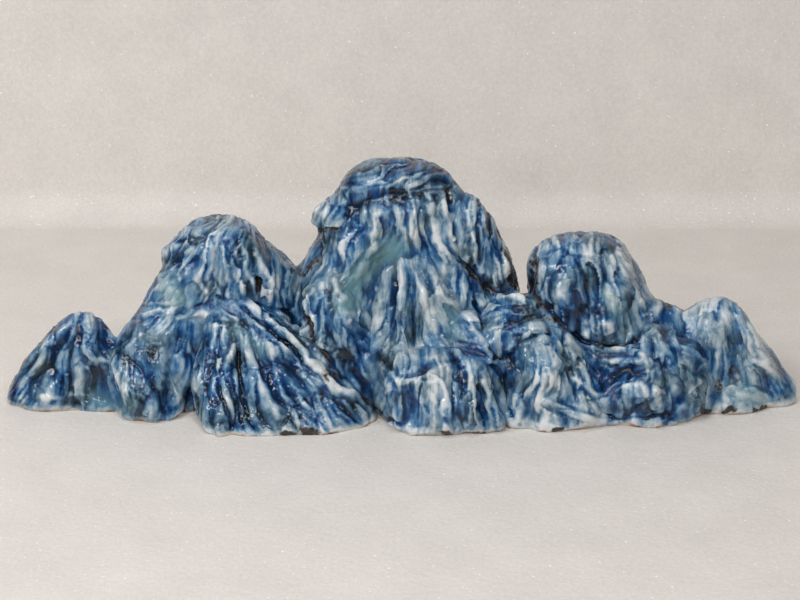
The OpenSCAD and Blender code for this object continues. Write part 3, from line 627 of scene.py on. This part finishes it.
def lay_of(name, order, points, out):
    """Where each point of a lump lies across and along its flutes, in millimetres."""
    fan, spacing, length, depth = FLUTES[name]
    lay = SimpleNamespace(name=name, order=order, points=points, own=order + 0.5,
                          spacing=spacing, length=length, depth=depth)
    lay.pixels = seen_at(points)
    lay.unsteady = wavering(lay.pixels, points)
    facing = -(out @ LOOK)
    lay.front, lay.in_sight = ramp(facing, -0.15, 0.3), ramp(facing, -0.5, 0.1)
    lay.crown = (lay.front <= 0.5) & (out[:, 2] > 0.62 + 0.12 * field(points / 3, 81))

    lay.wander = sum(sway_of(points, lay.own, *sway) for sway in WANDER)
    lay.drift = sway_of(points, lay.own, *DRIFT)
    rel = lay.pixels - np.array(fan, dtype=float)
    lay.turn = np.arctan2(rel[:, 0], rel[:, 1])
    mid_radius = np.linalg.norm(lay.pixels.mean(0) - fan) / PX_PER_MM
    lay.fan_across = lay.turn * mid_radius + lay.wander
    lay.fan_along = np.linalg.norm(rel, axis=1) / PX_PER_MM + lay.drift

    low, high = raw[name].low, raw[name].high
    centre = (low + high) / 2
    lay.round_turn = np.arctan2(points[:, 1] - centre[1], points[:, 0] - centre[0])
    lay.girth = (high[0] - low[0] + high[1] - low[1]) / 4
    lay.back_across = lay.round_turn * lay.girth + lay.wander
    lay.back_along = points[:, 2] + lay.drift
    return lay


print("slow sways:", len(WANDER), "of the flutes and", len(UNSTEADY_HAND), "of the hand")

# %% [markdown]
# ## Four kinds of stroke on a lump
# Fans in front, falls at the back, and on the crown plain strokes from front to back, since falls
# would meet there like the spokes of a wheel. Sweeps replace the fan inside their patches.

# %% Daubs and flutes
BACK_PITCH, BACK_LENGTH = 1.3, 1.2
NARROWEST_FAN = 4
SWEPT_FROM = 0.45


def laid_over(mask, top, below):
    """The top strokes where the mask holds, and those below elsewhere."""
    return [np.where(mask, a, b) for a, b in zip(top, below)]


def daubs(lay, share, seed):
    """Strokes all over a lump, of a share of its full size: their height and their tone."""
    pitch, length = lay.spacing * share, lay.length * share
    in_front = lay.front > 0.5
    fanned = strokes(lay.turn, lay.fan_along, lambda r: np.maximum(r, NARROWEST_FAN), lay.wander,
                     pitch, length, seed + lay.order)
    fallen = strokes(lay.round_turn, lay.back_along, lambda r: lay.girth, lay.wander,
                     pitch * BACK_PITCH, length * BACK_LENGTH, seed + 7)
    over = strokes(lay.points[:, 0], lay.points[:, 1] + lay.drift, lambda r: 1.0, lay.wander,
                   pitch, length, seed + 13)
    laid = laid_over(lay.crown, over, laid_over(in_front, fanned, fallen))
    for lump, line, half_width, slant in SWEEPS.values():
        if lump == lay.name:
            lie = math.radians(slant)
            aside = (lay.pixels @ [math.sin(lie), math.cos(lie)]) / PX_PER_MM
            down = (lay.pixels @ [math.cos(lie), -math.sin(lie)]) / PX_PER_MM
            swept = strokes(aside, down + lay.drift, lambda r: 1.0, lay.wander, pitch, length, seed + 11)
            here = in_front & (brush(lay.unsteady, line, half_width) > SWEPT_FROM)
            laid = laid_over(here, swept, laid)
    return laid


def flutes(lay, share, length, seed):
    """Smooth flutes from -1 to 1, at a share of the lump's spacing."""
    pitch = lay.spacing * share
    level = np.full(len(lay.points), lay.own)
    fanned = field(np.stack([lay.fan_across / pitch, lay.fan_along / length, level], 1), seed)
    fallen = field(np.stack([lay.back_across / pitch, lay.back_along / length, level], 1), seed + 1)
    return fanned * lay.front + fallen * (1 - lay.front)


print("strokes at the back are wider by", BACK_PITCH)

# %% [markdown]
# ## Relief
# Three sizes of tool work lie over each other: broad flutes, thick strokes as long as a fingernail
# and thin ones between them. The shares say how much of a lump's depth each kind gets. Then come
# soft hollows from handling, and the marks drawn above. A groove of a millimetre or more is a
# crease, cut narrow and deep.

# %% Heights of the tool work and the marks
ALL_MARKS = {**LEFT_MARKS, **CENTRE_MARKS, **RIGHT_MARKS}
SHARES = {"broad": 0.5, "thick": 1.1, "ribs": 0.3, "thin": 0.35, "grit": 0.12}
BROAD, RIBS = (1.5, 9, 21), (0.9, 5, 51)
THICK, THIN = (1.0, 300), (0.5, 500)
LUTE_REACH = 4.0
LUTE_RISE = 1.0
HOLLOW = 0.4
MARK_RISE = 0.9
MARK_WIDTH = 0.8
CREASE_WIDTH = 0.55
GROOVE_SHARE = 0.6


def tool_work(lay):
    """Height of all the tool work in millimetres, and the tone of the strokes."""
    thick, thick_tone = daubs(lay, *THICK)
    thin, thin_tone = daubs(lay, *THIN)
    heights = {"broad": flutes(lay, *BROAD),
               "thick": thick - 0.5,
               "ribs": 1 - 2 * np.abs(flutes(lay, *RIBS)) ** 0.7,
               "thin": thin - 0.5,
               "grit": field(lay.points / 1.1 + lay.own, 73)}
    return lay.depth * sum(SHARES[kind] * heights[kind] for kind in SHARES), thick_tone + 0.5 * thin_tone


def drawn_marks(lay):
    """Ridges, grooves and creases at each point, which swell and fade along their length."""
    rising, sinking, crease = (np.zeros(len(lay.points)) for _ in range(3))
    for line, half_width, rise in ALL_MARKS.values():
        if rise > 0:
            rising = np.maximum(rising, rise * brush(lay.unsteady, line, half_width * MARK_WIDTH))
        elif rise > -1:
            sinking = np.maximum(sinking, -rise * brush(lay.unsteady, line, half_width * MARK_WIDTH))
        else:
            crease = np.maximum(crease, -rise * brush(lay.unsteady, line, half_width * CREASE_WIDTH))
    swell = np.clip(0.7 + 0.9 * field(lay.points / 2.6, 65), 0, 1.3)
    rising, sinking, crease = (mark * lay.in_sight * swell for mark in (rising, sinking, crease))
    return rising, np.maximum(sinking * GROOVE_SHARE, crease), crease


def soft_hollows(lay):
    return field(lay.points / 7 + lay.own, 71) * 0.65 + field(lay.points / 3.2 + lay.own, 72) * 0.35


print("drawn marks:", len(ALL_MARKS))

# %% [markdown]
# ## What the glaze has to know
# Glaze runs off whatever stands out and gathers in whatever lies deep, and grooves, creases and
# seams are darkened further as painted shade. How far a point stands out is measured from a relaxed
# copy of the surface: a little relaxing shows crests, a lot shows swells. Both fade near a seam,
# where the cut edge of a hidden lump would count as a crest.

# %% Store crests, streaks and washes
CREST_FULL = 0.12
SWELL_FULL = 0.38
SEAM_FADE = (0.2, 2.6)
NEAR_ROUNDS, WIDE_ROUNDS = 18, 90


def store_for_glaze(mesh, lay, out, seam, rising, sinking, crease, tone, pairs, count):
    near = relax(lay.worked, pairs, count, NEAR_ROUNDS)
    wide = relax(near, pairs, count, WIDE_ROUNDS)
    fine_crest = ((lay.worked - near) * out).sum(1)
    broad_crest = ((near - wide) * out).sum(1)
    in_front = lay.front > 0.5
    broad_crest -= np.median(broad_crest[in_front]) if in_front.any() else 0
    open_clay, calm = ramp(seam, *SEAM_FADE), CALM.get(lay.name, 1.0)
    keep(mesh, "crest", calm * open_clay * np.clip(fine_crest / CREST_FULL, -1.3, 1.5))
    keep(mesh, "swelling", calm * open_clay * np.clip(broad_crest / SWELL_FULL, -1.0, 1.1))
    keep(mesh, "rib", calm * np.clip(rising, 0, 1.2))
    cap = CAP_BLUE * lay.front * brush(lay.unsteady, *CAP)
    keep(mesh, "white", np.full(len(lay.worked), WHITENESS.get(lay.name, 0.0)) - cap)
    shared = field(lay.worked / [1.3, 1.3, 4.0], 91) * 1.3
    keep(mesh, "streak", open_clay * tone + (1 - open_clay) * shared)
    # Grooves, creases and seams: darker as pooled glaze, and darker as painted shade.
    keep(mesh, "groove", np.clip(0.4 * sinking + crease, 0, 1.3) + 0.25 * np.exp(-(seam / 0.8) ** 2))
    # The cobalt and iron washes hold painted shade too: under the overhang, along the ledge, and in crevices,
    # pits and hollows.
    for wash, patches in (("pool", POOLS), ("cobalt_and_shade", THICK_COBALT_AND_SHADE), ("iron_and_shade", IRON_AND_CREVICE_SHADE)):
        keep(mesh, wash, washed(lay.unsteady, lay.front, patches))
    across = lay.fan_across * lay.front + lay.back_across * (1 - lay.front)
    along = lay.fan_along * lay.front + (lay.worked[:, 2] + lay.drift) * (1 - lay.front)
    flow = mesh.attributes.new("flow", "FLOAT_VECTOR", "POINT")
    level = np.full(len(across), lay.own * 5)
    flow.data.foreach_set("vector", np.stack([across, along, level], 1).astype(np.float32).ravel())
    print(lay.name, len(lay.worked), "crest spread", fine_crest.std().round(3), broad_crest.std().round(3))


print("a crest counts in full from", CREST_FULL, "mm")

# %% [markdown]
# ## Work one lump
# Rub the lump smooth and keep its foot flat, draw the clay out a little at the seams, work the
# surface, and let nothing sink below the table. The new piece takes the CAD lump's place in the
# picture and stays on the same body.

# %% Work one lump
RELAX = 20
FOOT = 0.4


def work_clay(name, order):
    """A new piece with the worked surface of one lump."""
    piece = fine_skin(name)
    mesh = piece.data
    pairs, count = ties(mesh)
    meshed = corners(mesh)
    points = relax(meshed, pairs, count, RELAX)
    points[:, 2] = np.where(meshed[:, 2] < FOOT, meshed[:, 2], points[:, 2])
    place(mesh, points)
    out = read(mesh.vertex_normals, "vector", 3).astype(float)
    seam = seam_distance(name, points)
    lay = lay_of(name, order, points, out)

    relief, tone = tool_work(lay)
    rising, sinking, crease = drawn_marks(lay)
    lute = LUTE_RISE * np.clip(1 - seam / LUTE_REACH, 0, 1) ** 2
    off_table = ramp(points[:, 2], 0.2, 2.5)
    move = lute + off_table * (relief + HOLLOW * soft_hollows(lay) + MARK_RISE * (rising - sinking))
    lay.worked = points + out * relax(move, pairs, count, 1)[:, None]
    lay.worked[:, 2] = np.maximum(lay.worked[:, 2], 0)
    place(mesh, lay.worked)

    store_for_glaze(mesh, lay, out, seam, rising, sinking, crease, tone, pairs, count)
    mesh.polygons.foreach_set("use_smooth", [True] * len(mesh.polygons))
    mesh.update()
    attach(piece, "root")
    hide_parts(name)
    return piece


print("lumps are rubbed smooth", RELAX, "times")

# %% [markdown]
# ## Small helpers for the glaze
# A material in Blender is a tree of nodes. Each helper adds one node and hands back its output, so
# that the recipe below reads as sums and blends.


# %% Node helpers
def link(tree, value, socket):
    """Plugs in an output, or writes a plain number or colour."""
    if hasattr(value, "is_output"):
        tree.links.new(value, socket)
    else:
        socket.default_value = value


def added(tree, kind, **sockets):
    """A new node, with its sockets plugged in or set."""
    node = tree.nodes.new("ShaderNode" + kind)
    for name, value in sockets.items():
        link(tree, value, node.inputs[name])
    return node


def maths(tree, kind, a, b=0.0, clamp=False):
    node = added(tree, "Math")
    node.operation = kind
    node.use_clamp = clamp
    link(tree, a, node.inputs[0])
    link(tree, b, node.inputs[1])
    return node.outputs[0]


def times(tree, a, b, clamp=False):
    return maths(tree, "MULTIPLY", a, b, clamp)


def plus(tree, a, b):
    return maths(tree, "ADD", a, b)


def minus(tree, a, b):
    return maths(tree, "SUBTRACT", a, b)


def stretch(tree, value, start, slope):
    """How far a value is past a start, times a slope, from 0 to 1."""
    return times(tree, minus(tree, value, start), slope, True)


def stored(tree, name, output="Fac"):
    node = added(tree, "Attribute")
    node.attribute_name = name
    return node.outputs[output]


def blend(tree, factor, low, high):
    node = added(tree, "Mix")
    node.data_type = "RGBA"
    for name, value in (("Factor", factor), ("A", low), ("B", high)):
        link(tree, value, node.inputs[name])
    return node.outputs["Result"]


def grain(tree, spot, scale, detail=2.0, rough=0.5):
    return added(tree, "TexNoise", Vector=spot, Scale=scale, Detail=detail, Roughness=rough).outputs["Fac"]


def height_of(tree, spot):
    return added(tree, "SeparateXYZ", Vector=spot).outputs["Z"]


def colours(tree, value, stops):
    node = added(tree, "ValToRGB", Fac=value)
    band = node.color_ramp
    while len(band.elements) < len(stops):
        band.elements.new(0.5)
    for element, (at, colour) in zip(band.elements, stops):
        element.position = at
        element.color = (*colour, 1)
    return node.outputs["Color"]


def bumped(tree, height, strength, rise_mm):
    """The tilt that fine bumps give to the surface."""
    return added(tree, "Bump", Height=height, Strength=strength, Distance=rise_mm * MM).outputs["Normal"]


def new_finish(name):
    """A new material with its tree, its skin, and the place of each point on the piece."""
    finish = bpy.data.materials.new(name)
    finish.use_nodes = True
    tree = finish.node_tree
    return finish, tree, tree.nodes["Principled BSDF"], added(tree, "TexCoord").outputs["Object"]


print("node helpers:", [f.__name__ for f in (maths, stored, blend, grain, colours, bumped)])

# %% [markdown]
# ## Colours of the glaze
# One number says how much white there is over the cobalt, and two colour bands turn it into a
# colour, from blue-black to milky white. The first is pure cobalt and the second is greyer, as
# where the glaze was thinner, and a slow noise mixes them. Numbers are linear, not screen values.

# %% Cobalt, slate, green, iron, and the near-black of painted shade
GLAZE_STOPS = [
    (0.00, (0.002, 0.008, 0.022)),
    (0.14, (0.003, 0.017, 0.055)),
    (0.28, (0.005, 0.034, 0.120)),
    (0.42, (0.017, 0.079, 0.200)),
    (0.54, (0.064, 0.160, 0.285)),
    (0.66, (0.155, 0.262, 0.365)),
    (0.80, (0.318, 0.395, 0.462)),
    (1.00, (0.580, 0.615, 0.640)),
]
SLATE_STOPS = [
    (0.00, (0.004, 0.006, 0.008)),
    (0.16, (0.008, 0.017, 0.028)),
    (0.30, (0.016, 0.040, 0.068)),
    (0.44, (0.046, 0.092, 0.130)),
    (0.56, (0.108, 0.175, 0.222)),
    (0.68, (0.205, 0.280, 0.325)),
    (0.82, (0.360, 0.415, 0.445)),
    (1.00, (0.580, 0.605, 0.610)),
]
CELADON = (0.118, 0.236, 0.264, 1)
BARE_CLAY = (0.58, 0.52, 0.43, 1)
FOOT_STAIN = (0.280, 0.125, 0.042, 1)
IRON_AND_SHADE_HALO = (0.110, 0.066, 0.034, 1)
IRON_AND_SHADE_BLACK = (0.008, 0.007, 0.007, 1)
IRON_AND_SHADE_BROWN = (0.090, 0.045, 0.022, 1)
print("steps from cobalt to white:", len(GLAZE_STOPS))

# %% [markdown]
# ## How much white
# The value starts in the middle and moves with what was stored on the clay: up on crests, ribs and
# the lowest two millimetres, down in grooves and under cobalt. The darkening in grooves, creases and
# seams is pooled glaze and painted shade, and part of the cobalt is painted shade too. Two noises are
# drawn out along the flutes, as glaze runs, and three are round, as it curdles. Each has its scale,
# detail, roughness and weight.

# %% Sum up the white
CONTRAST = 1.12
MIDDLE = 0.50
DARKEST = 0.06
# groove and cobalt darken as pooled glaze and thick cobalt, and as painted shade in grooves, seams and
# hollows.
STORED_WEIGHTS = {"crest": 0.13, "swelling": 0.09, "white": 1.0, "streak": 0.135,
                  "rib": 0.14, "groove": -0.22, "cobalt_and_shade": -0.24}
FOOT_WEIGHT = 0.22
FOOT_BAND, FOOT_WOBBLE = 2.1, 6
THREADS = (2.5, 3.0, 0.6, 0.32)
WASHES = (0.45, 2.0, 0.55, 0.55)
ROUND_GRAINS = {"clouds": (95.0, 2.0, 0.5, 0.50), "blots": (260.0, 2.0, 0.55, 0.40),
                "curdle": (620.0, 3.0, 0.6, 0.30)}


def foot_band(tree, spot):
    """1 on the last two millimetres above the table, 0 higher up, with a ragged edge."""
    wobble = minus(tree, grain(tree, spot, 220.0, 3.0, 0.6), 0.5)
    edge = plus(tree, times(tree, wobble, FOOT_WOBBLE * MM), FOOT_BAND * MM)
    return times(tree, minus(tree, edge, height_of(tree, spot)), 900.0, True)


def white_over_cobalt(tree, spot, runs, threads):
    """0 for pure thick cobalt, 1 for milky white."""
    parts = [(stored(tree, name), weight) for name, weight in STORED_WEIGHTS.items()]
    parts.append((foot_band(tree, spot), FOOT_WEIGHT))
    noises = [(threads, THREADS[3]), (grain(tree, runs, *WASHES[:3]), WASHES[3])]
    noises += [(grain(tree, spot, *kind[:3]), kind[3]) for kind in ROUND_GRAINS.values()]
    parts += [(minus(tree, noise, 0.5), weight) for noise, weight in noises]
    value = MIDDLE
    for amount, weight in parts:
        value = plus(tree, value, times(tree, amount, weight * CONTRAST))
    return maths(tree, "MAXIMUM", value, DARKEST)


print("things that move the white:", len(STORED_WEIGHTS) + len(ROUND_GRAINS) + 3)

# %% [markdown]
# ## Iron, painted shade and the bare rim
# Iron is darkest in the middle of a spot and leaves a ragged brown halo; in crevices, pits and
# recesses this near-black and its halo are painted shade as well. The last fraction of a
# millimetre above the table was wiped clean of glaze, and shows cream clay with rusty stains.


# %% Iron spots, painted shade in crevices, and the wiped foot
# Painted shade: in crevices, pits and recesses the iron near-black stands for shade as well as iron.
def spill_of_iron_and_shade(tree, spot, colour):
    """The colour with iron over it, and how much iron there is."""
    rust = grain(tree, spot, 600.0, 3.0, 0.6)
    spill = stored(tree, "iron_and_shade")
    near_spill = times(tree, spill, 4.0, True)
    ragged = times(tree, minus(tree, rust, 0.5), near_spill)
    iron_and_shade = plus(tree, times(tree, spill, 1.6), times(tree, ragged, 3.0))
    halo = times(tree, stretch(tree, iron_and_shade, 0.45, 1.2), 0.55)
    core = stretch(tree, iron_and_shade, 0.80, 3.0)
    rust_and_shade_tone = blend(tree, stretch(tree, rust, 0.30, 5.0), IRON_AND_SHADE_BROWN, IRON_AND_SHADE_BLACK)
    stained_and_shaded = blend(tree, halo, colour, IRON_AND_SHADE_HALO)
    return blend(tree, times(tree, core, 0.9), stained_and_shaded, rust_and_shade_tone), core


def wiped_rim(tree, spot, colour, iron_and_shade):
    """The colour with the bare rim over it, and where the rim is."""
    wobble = minus(tree, grain(tree, spot, 260.0, 3.0, 0.6), 0.36)
    edge = times(tree, wobble, 3.6 * MM)
    rim = times(tree, minus(tree, edge, height_of(tree, spot)), 1800.0, True)
    clay = blend(tree, stretch(tree, grain(tree, spot, 190.0), 0.40, 7.0), BARE_CLAY, FOOT_STAIN)
    bare = times(tree, rim, minus(tree, 1.0, iron_and_shade))
    return blend(tree, bare, colour, clay), rim


print("iron stain and rim ready")

# %% [markdown]
# ## The glaze itself
# The fired glaze is glass. Its colour is worked out above, so one glossy skin is enough, and bakes
# well, where a clear coat on top would give a second set of lights. Fine bumps that melt into each
# other break the lights up into points, as on the pot.

# %% Mix the glaze
GLOSS = 0.05
RIM_DULL, IRON_DULL = 0.35, 0.22
GLASS_IOR = 1.44
BUMP_STRENGTH, BUMP_HEIGHT = 0.6, 0.3
DIMPLES, PINPRICKS = 480.0, 1000.0
RUN_LENGTH = 0.26


def melted_bumps(tree, spot, threads):
    waves = plus(tree, times(tree, threads, 0.5), grain(tree, spot, DIMPLES, 1.0))
    waves = plus(tree, waves, times(tree, grain(tree, spot, PINPRICKS, 1.0), 0.3))
    return bumped(tree, waves, BUMP_STRENGTH, BUMP_HEIGHT)


def mix_glaze():
    glaze, tree, skin, spot = new_finish("run_cobalt_glaze")
    flow = stored(tree, "flow", "Vector")
    runs = added(tree, "Mapping", Vector=flow, Scale=(1.0, RUN_LENGTH, 1.0)).outputs["Vector"]
    threads = grain(tree, runs, *THREADS[:3])

    value = white_over_cobalt(tree, spot, runs, threads)
    purity = stretch(tree, grain(tree, spot, 170.0), 0.35, 4.0)
    colour = blend(tree, purity, colours(tree, value, SLATE_STOPS), colours(tree, value, GLAZE_STOPS))
    colour = blend(tree, times(tree, stored(tree, "pool"), 0.85), colour, CELADON)
    colour, iron_and_shade = spill_of_iron_and_shade(tree, spot, colour)
    colour, rim = wiped_rim(tree, spot, colour, iron_and_shade)
    tree.links.new(colour, skin.inputs["Base Color"])

    dull = maths(tree, "MAXIMUM", times(tree, rim, RIM_DULL), times(tree, iron_and_shade, IRON_DULL))
    tree.links.new(plus(tree, dull, GLOSS), skin.inputs["Roughness"])
    skin.inputs["IOR"].default_value = GLASS_IOR
    tree.links.new(melted_bumps(tree, spot, threads), skin.inputs["Normal"])
    return glaze


glaze = mix_glaze()
print("glaze nodes:", len(glaze.node_tree.nodes))

# %% [markdown]
# ## All the lumps
# All lumps share one material, because one glaze was poured over the whole pot.

# %% Work and glaze all the lumps
total = 0
for order, name in enumerate(sorted(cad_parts)):
    piece = work_clay(name, order)
    piece.data.materials.append(glaze)
    total += len(piece.data.polygons)
print("faces of worked clay:", total)

# %% [markdown]
# ## The sheet of packing foam
# The rest stands on white foam, and the same foam rises behind it. One swept sheet makes both:
# flat, a small bend, and a wall. It belongs to the stage, not to the object.

# %% Foam floor and wall
FRONT_EDGE = -150.0
WALL_AT = 117.0
WALL_TOP = 330.0
HALF_WIDTH = 420.0
BEND = 9.0
BEND_STEPS = 10


def foam_sheet():
    profile = [(FRONT_EDGE, 0.0)]
    profile += [(WALL_AT - BEND + BEND * math.sin(a), BEND - BEND * math.cos(a))
                for a in np.linspace(0, math.pi / 2, BEND_STEPS)]
    profile += [(WALL_AT, WALL_TOP)]
    verts = [(x * MM, y * MM, z * MM) for x in (-HALF_WIDTH, HALF_WIDTH) for y, z in profile]
    n = len(profile)
    faces = [(i, i + n, i + n + 1, i + 1) for i in range(n - 1)]
    mesh = bpy.data.meshes.new("foam_sheet")
    mesh.from_pydata(verts, [], faces)
    mesh.polygons.foreach_set("use_smooth", [True] * len(faces))
    sheet = bpy.data.objects.new("foam_sheet", mesh)
    bpy.context.collection.objects.link(sheet)
    return sheet


sheet = foam_sheet()
print("foam wall at", WALL_AT, "mm")

# %% [markdown]
# ## Foam up close
# The cells of the foam give a fine mottle, and a few of them are painted near-white as points of
# glint, a painted highlight. The sheet is one-sided: from behind or below it is clear, so the pot can
# be looked at from there too.

# %% Foam finish
FOAM_SHADE = (0.52, 0.485, 0.455, 1)
FOAM_LIGHT = (0.84, 0.795, 0.75, 1)
FOAM_PAINTED_GLINT = (0.98, 0.97, 0.95, 1)
RARE = 0.735


def foam_colour(tree, spot):
    mottle = plus(tree, times(tree, grain(tree, spot, 70.0, 3.0, 0.6), 0.4),
                  times(tree, grain(tree, spot, 1500.0, 2.0, 0.6), 0.6))
    # Painted highlight: rare points of the foam painted near-white as glints.
    painted_glint = maths(tree, "GREATER_THAN", grain(tree, spot, 1300.0, 1.0), RARE)
    tone = blend(tree, mottle, FOAM_SHADE, FOAM_LIGHT)
    return blend(tree, times(tree, painted_glint, 0.75), tone, FOAM_PAINTED_GLINT)


def foam_finish():
    foam, tree, skin, spot = new_finish("white_foam")
    tree.links.new(foam_colour(tree, spot), skin.inputs["Base Color"])
    skin.inputs["Roughness"].default_value = 0.6
    skin.inputs["Specular IOR Level"].default_value = 0.3
    cells = added(tree, "TexVoronoi", Vector=spot, Scale=700.0).outputs["Distance"]
    tree.links.new(bumped(tree, cells, 0.2, 0.3), skin.inputs["Normal"])
    one_sided = added(tree, "MixShader", Fac=added(tree, "NewGeometry").outputs["Backfacing"])
    tree.links.new(skin.outputs["BSDF"], one_sided.inputs[1])
    tree.links.new(added(tree, "BsdfTransparent").outputs["BSDF"], one_sided.inputs[2])
    tree.links.new(one_sided.outputs["Shader"], tree.nodes["Material Output"].inputs["Surface"])
    return foam


sheet.data.materials.append(foam_finish())
print("foam nodes:", len(sheet.data.materials[0].node_tree.nodes))

# %% [markdown]
# ## Light
# The photograph is lit softly from above and in front, and the wet look comes from many small lights
# on the glaze. So one broad lamp fills the front without showing in the glaze, and five small ones
# put their points there. Each has a place and a size in millimetres, and a power in watts.


# %% Lamps
def lamp(name, place_mm, aim_mm, size_mm, watts, tint=(1, 1, 1)):
    light = bpy.data.lights.new(name, "AREA")
    light.shape = "DISK"
    light.size = size_mm * MM
    light.energy = watts
    light.color = tint
    spot = bpy.data.objects.new(name, light)
    spot.location = Vector(place_mm) * MM
    spot.rotation_euler = (Vector(aim_mm) - Vector(place_mm)).to_track_quat("-Z", "Y").to_euler()
    bpy.context.collection.objects.link(spot)
    return spot


POT_MIDDLE = (0, 0, 20)
SMALL_LAMPS = {
    "lamp_left": ((-230, -330, 380), 96, 0.70),
    "lamp_right": ((170, -360, 400), 76, 0.46),
    "lamp_above": ((-30, -80, 520), 90, 0.46),
    "lamp_front": ((40, -430, 330), 44, 0.26),
    "lamp_window": ((-330, -200, 300), 96, 0.50),
}
room = lamp("room_front", (-60, -520, 210), (0, 0, 30), 420, 0.98, (1.0, 0.97, 0.94))
room.visible_glossy = False
for name, (place_mm, size_mm, watts) in SMALL_LAMPS.items():
    lamp(name, place_mm, POT_MIDDLE, size_mm, watts)
print("lamps:", len(SMALL_LAMPS) + 1)

# %% [markdown]
# The room around fills the shadows a little, with a dim cool grey.

# %% Surroundings
ROOM_TINT = (0.92, 0.95, 1.0, 1)
ROOM_STRENGTH = 0.10
world = bpy.data.worlds.new("room")
bpy.context.scene.world = world
world.use_nodes = True
world.node_tree.nodes["Background"].inputs["Color"].default_value = ROOM_TINT
world.node_tree.nodes["Background"].inputs["Strength"].default_value = ROOM_STRENGTH
print("room strength:", ROOM_STRENGTH)

# %% [markdown]
# ## Camera
# It stands where the photograph's eye was put at the start. Its lens is the focal length in pixels,
# turned into millimetres on the sensor.

# %% Camera at the photograph's angle
SENSOR = 36.0
eye = bpy.data.cameras.new("photo_camera")
eye.sensor_width = SENSOR
eye.lens = FOCAL / FRAME_W * SENSOR
camera = bpy.data.objects.new("photo_camera", eye)
camera.location = Vector(AIM - LOOK * DISTANCE) * MM
camera.rotation_euler = Vector(LOOK).to_track_quat("-Z", "Y").to_euler()
bpy.context.collection.objects.link(camera)
scene = bpy.context.scene
scene.camera = camera
scene.view_settings.view_transform = "Standard"
print("lens:", round(eye.lens, 1), "mm")
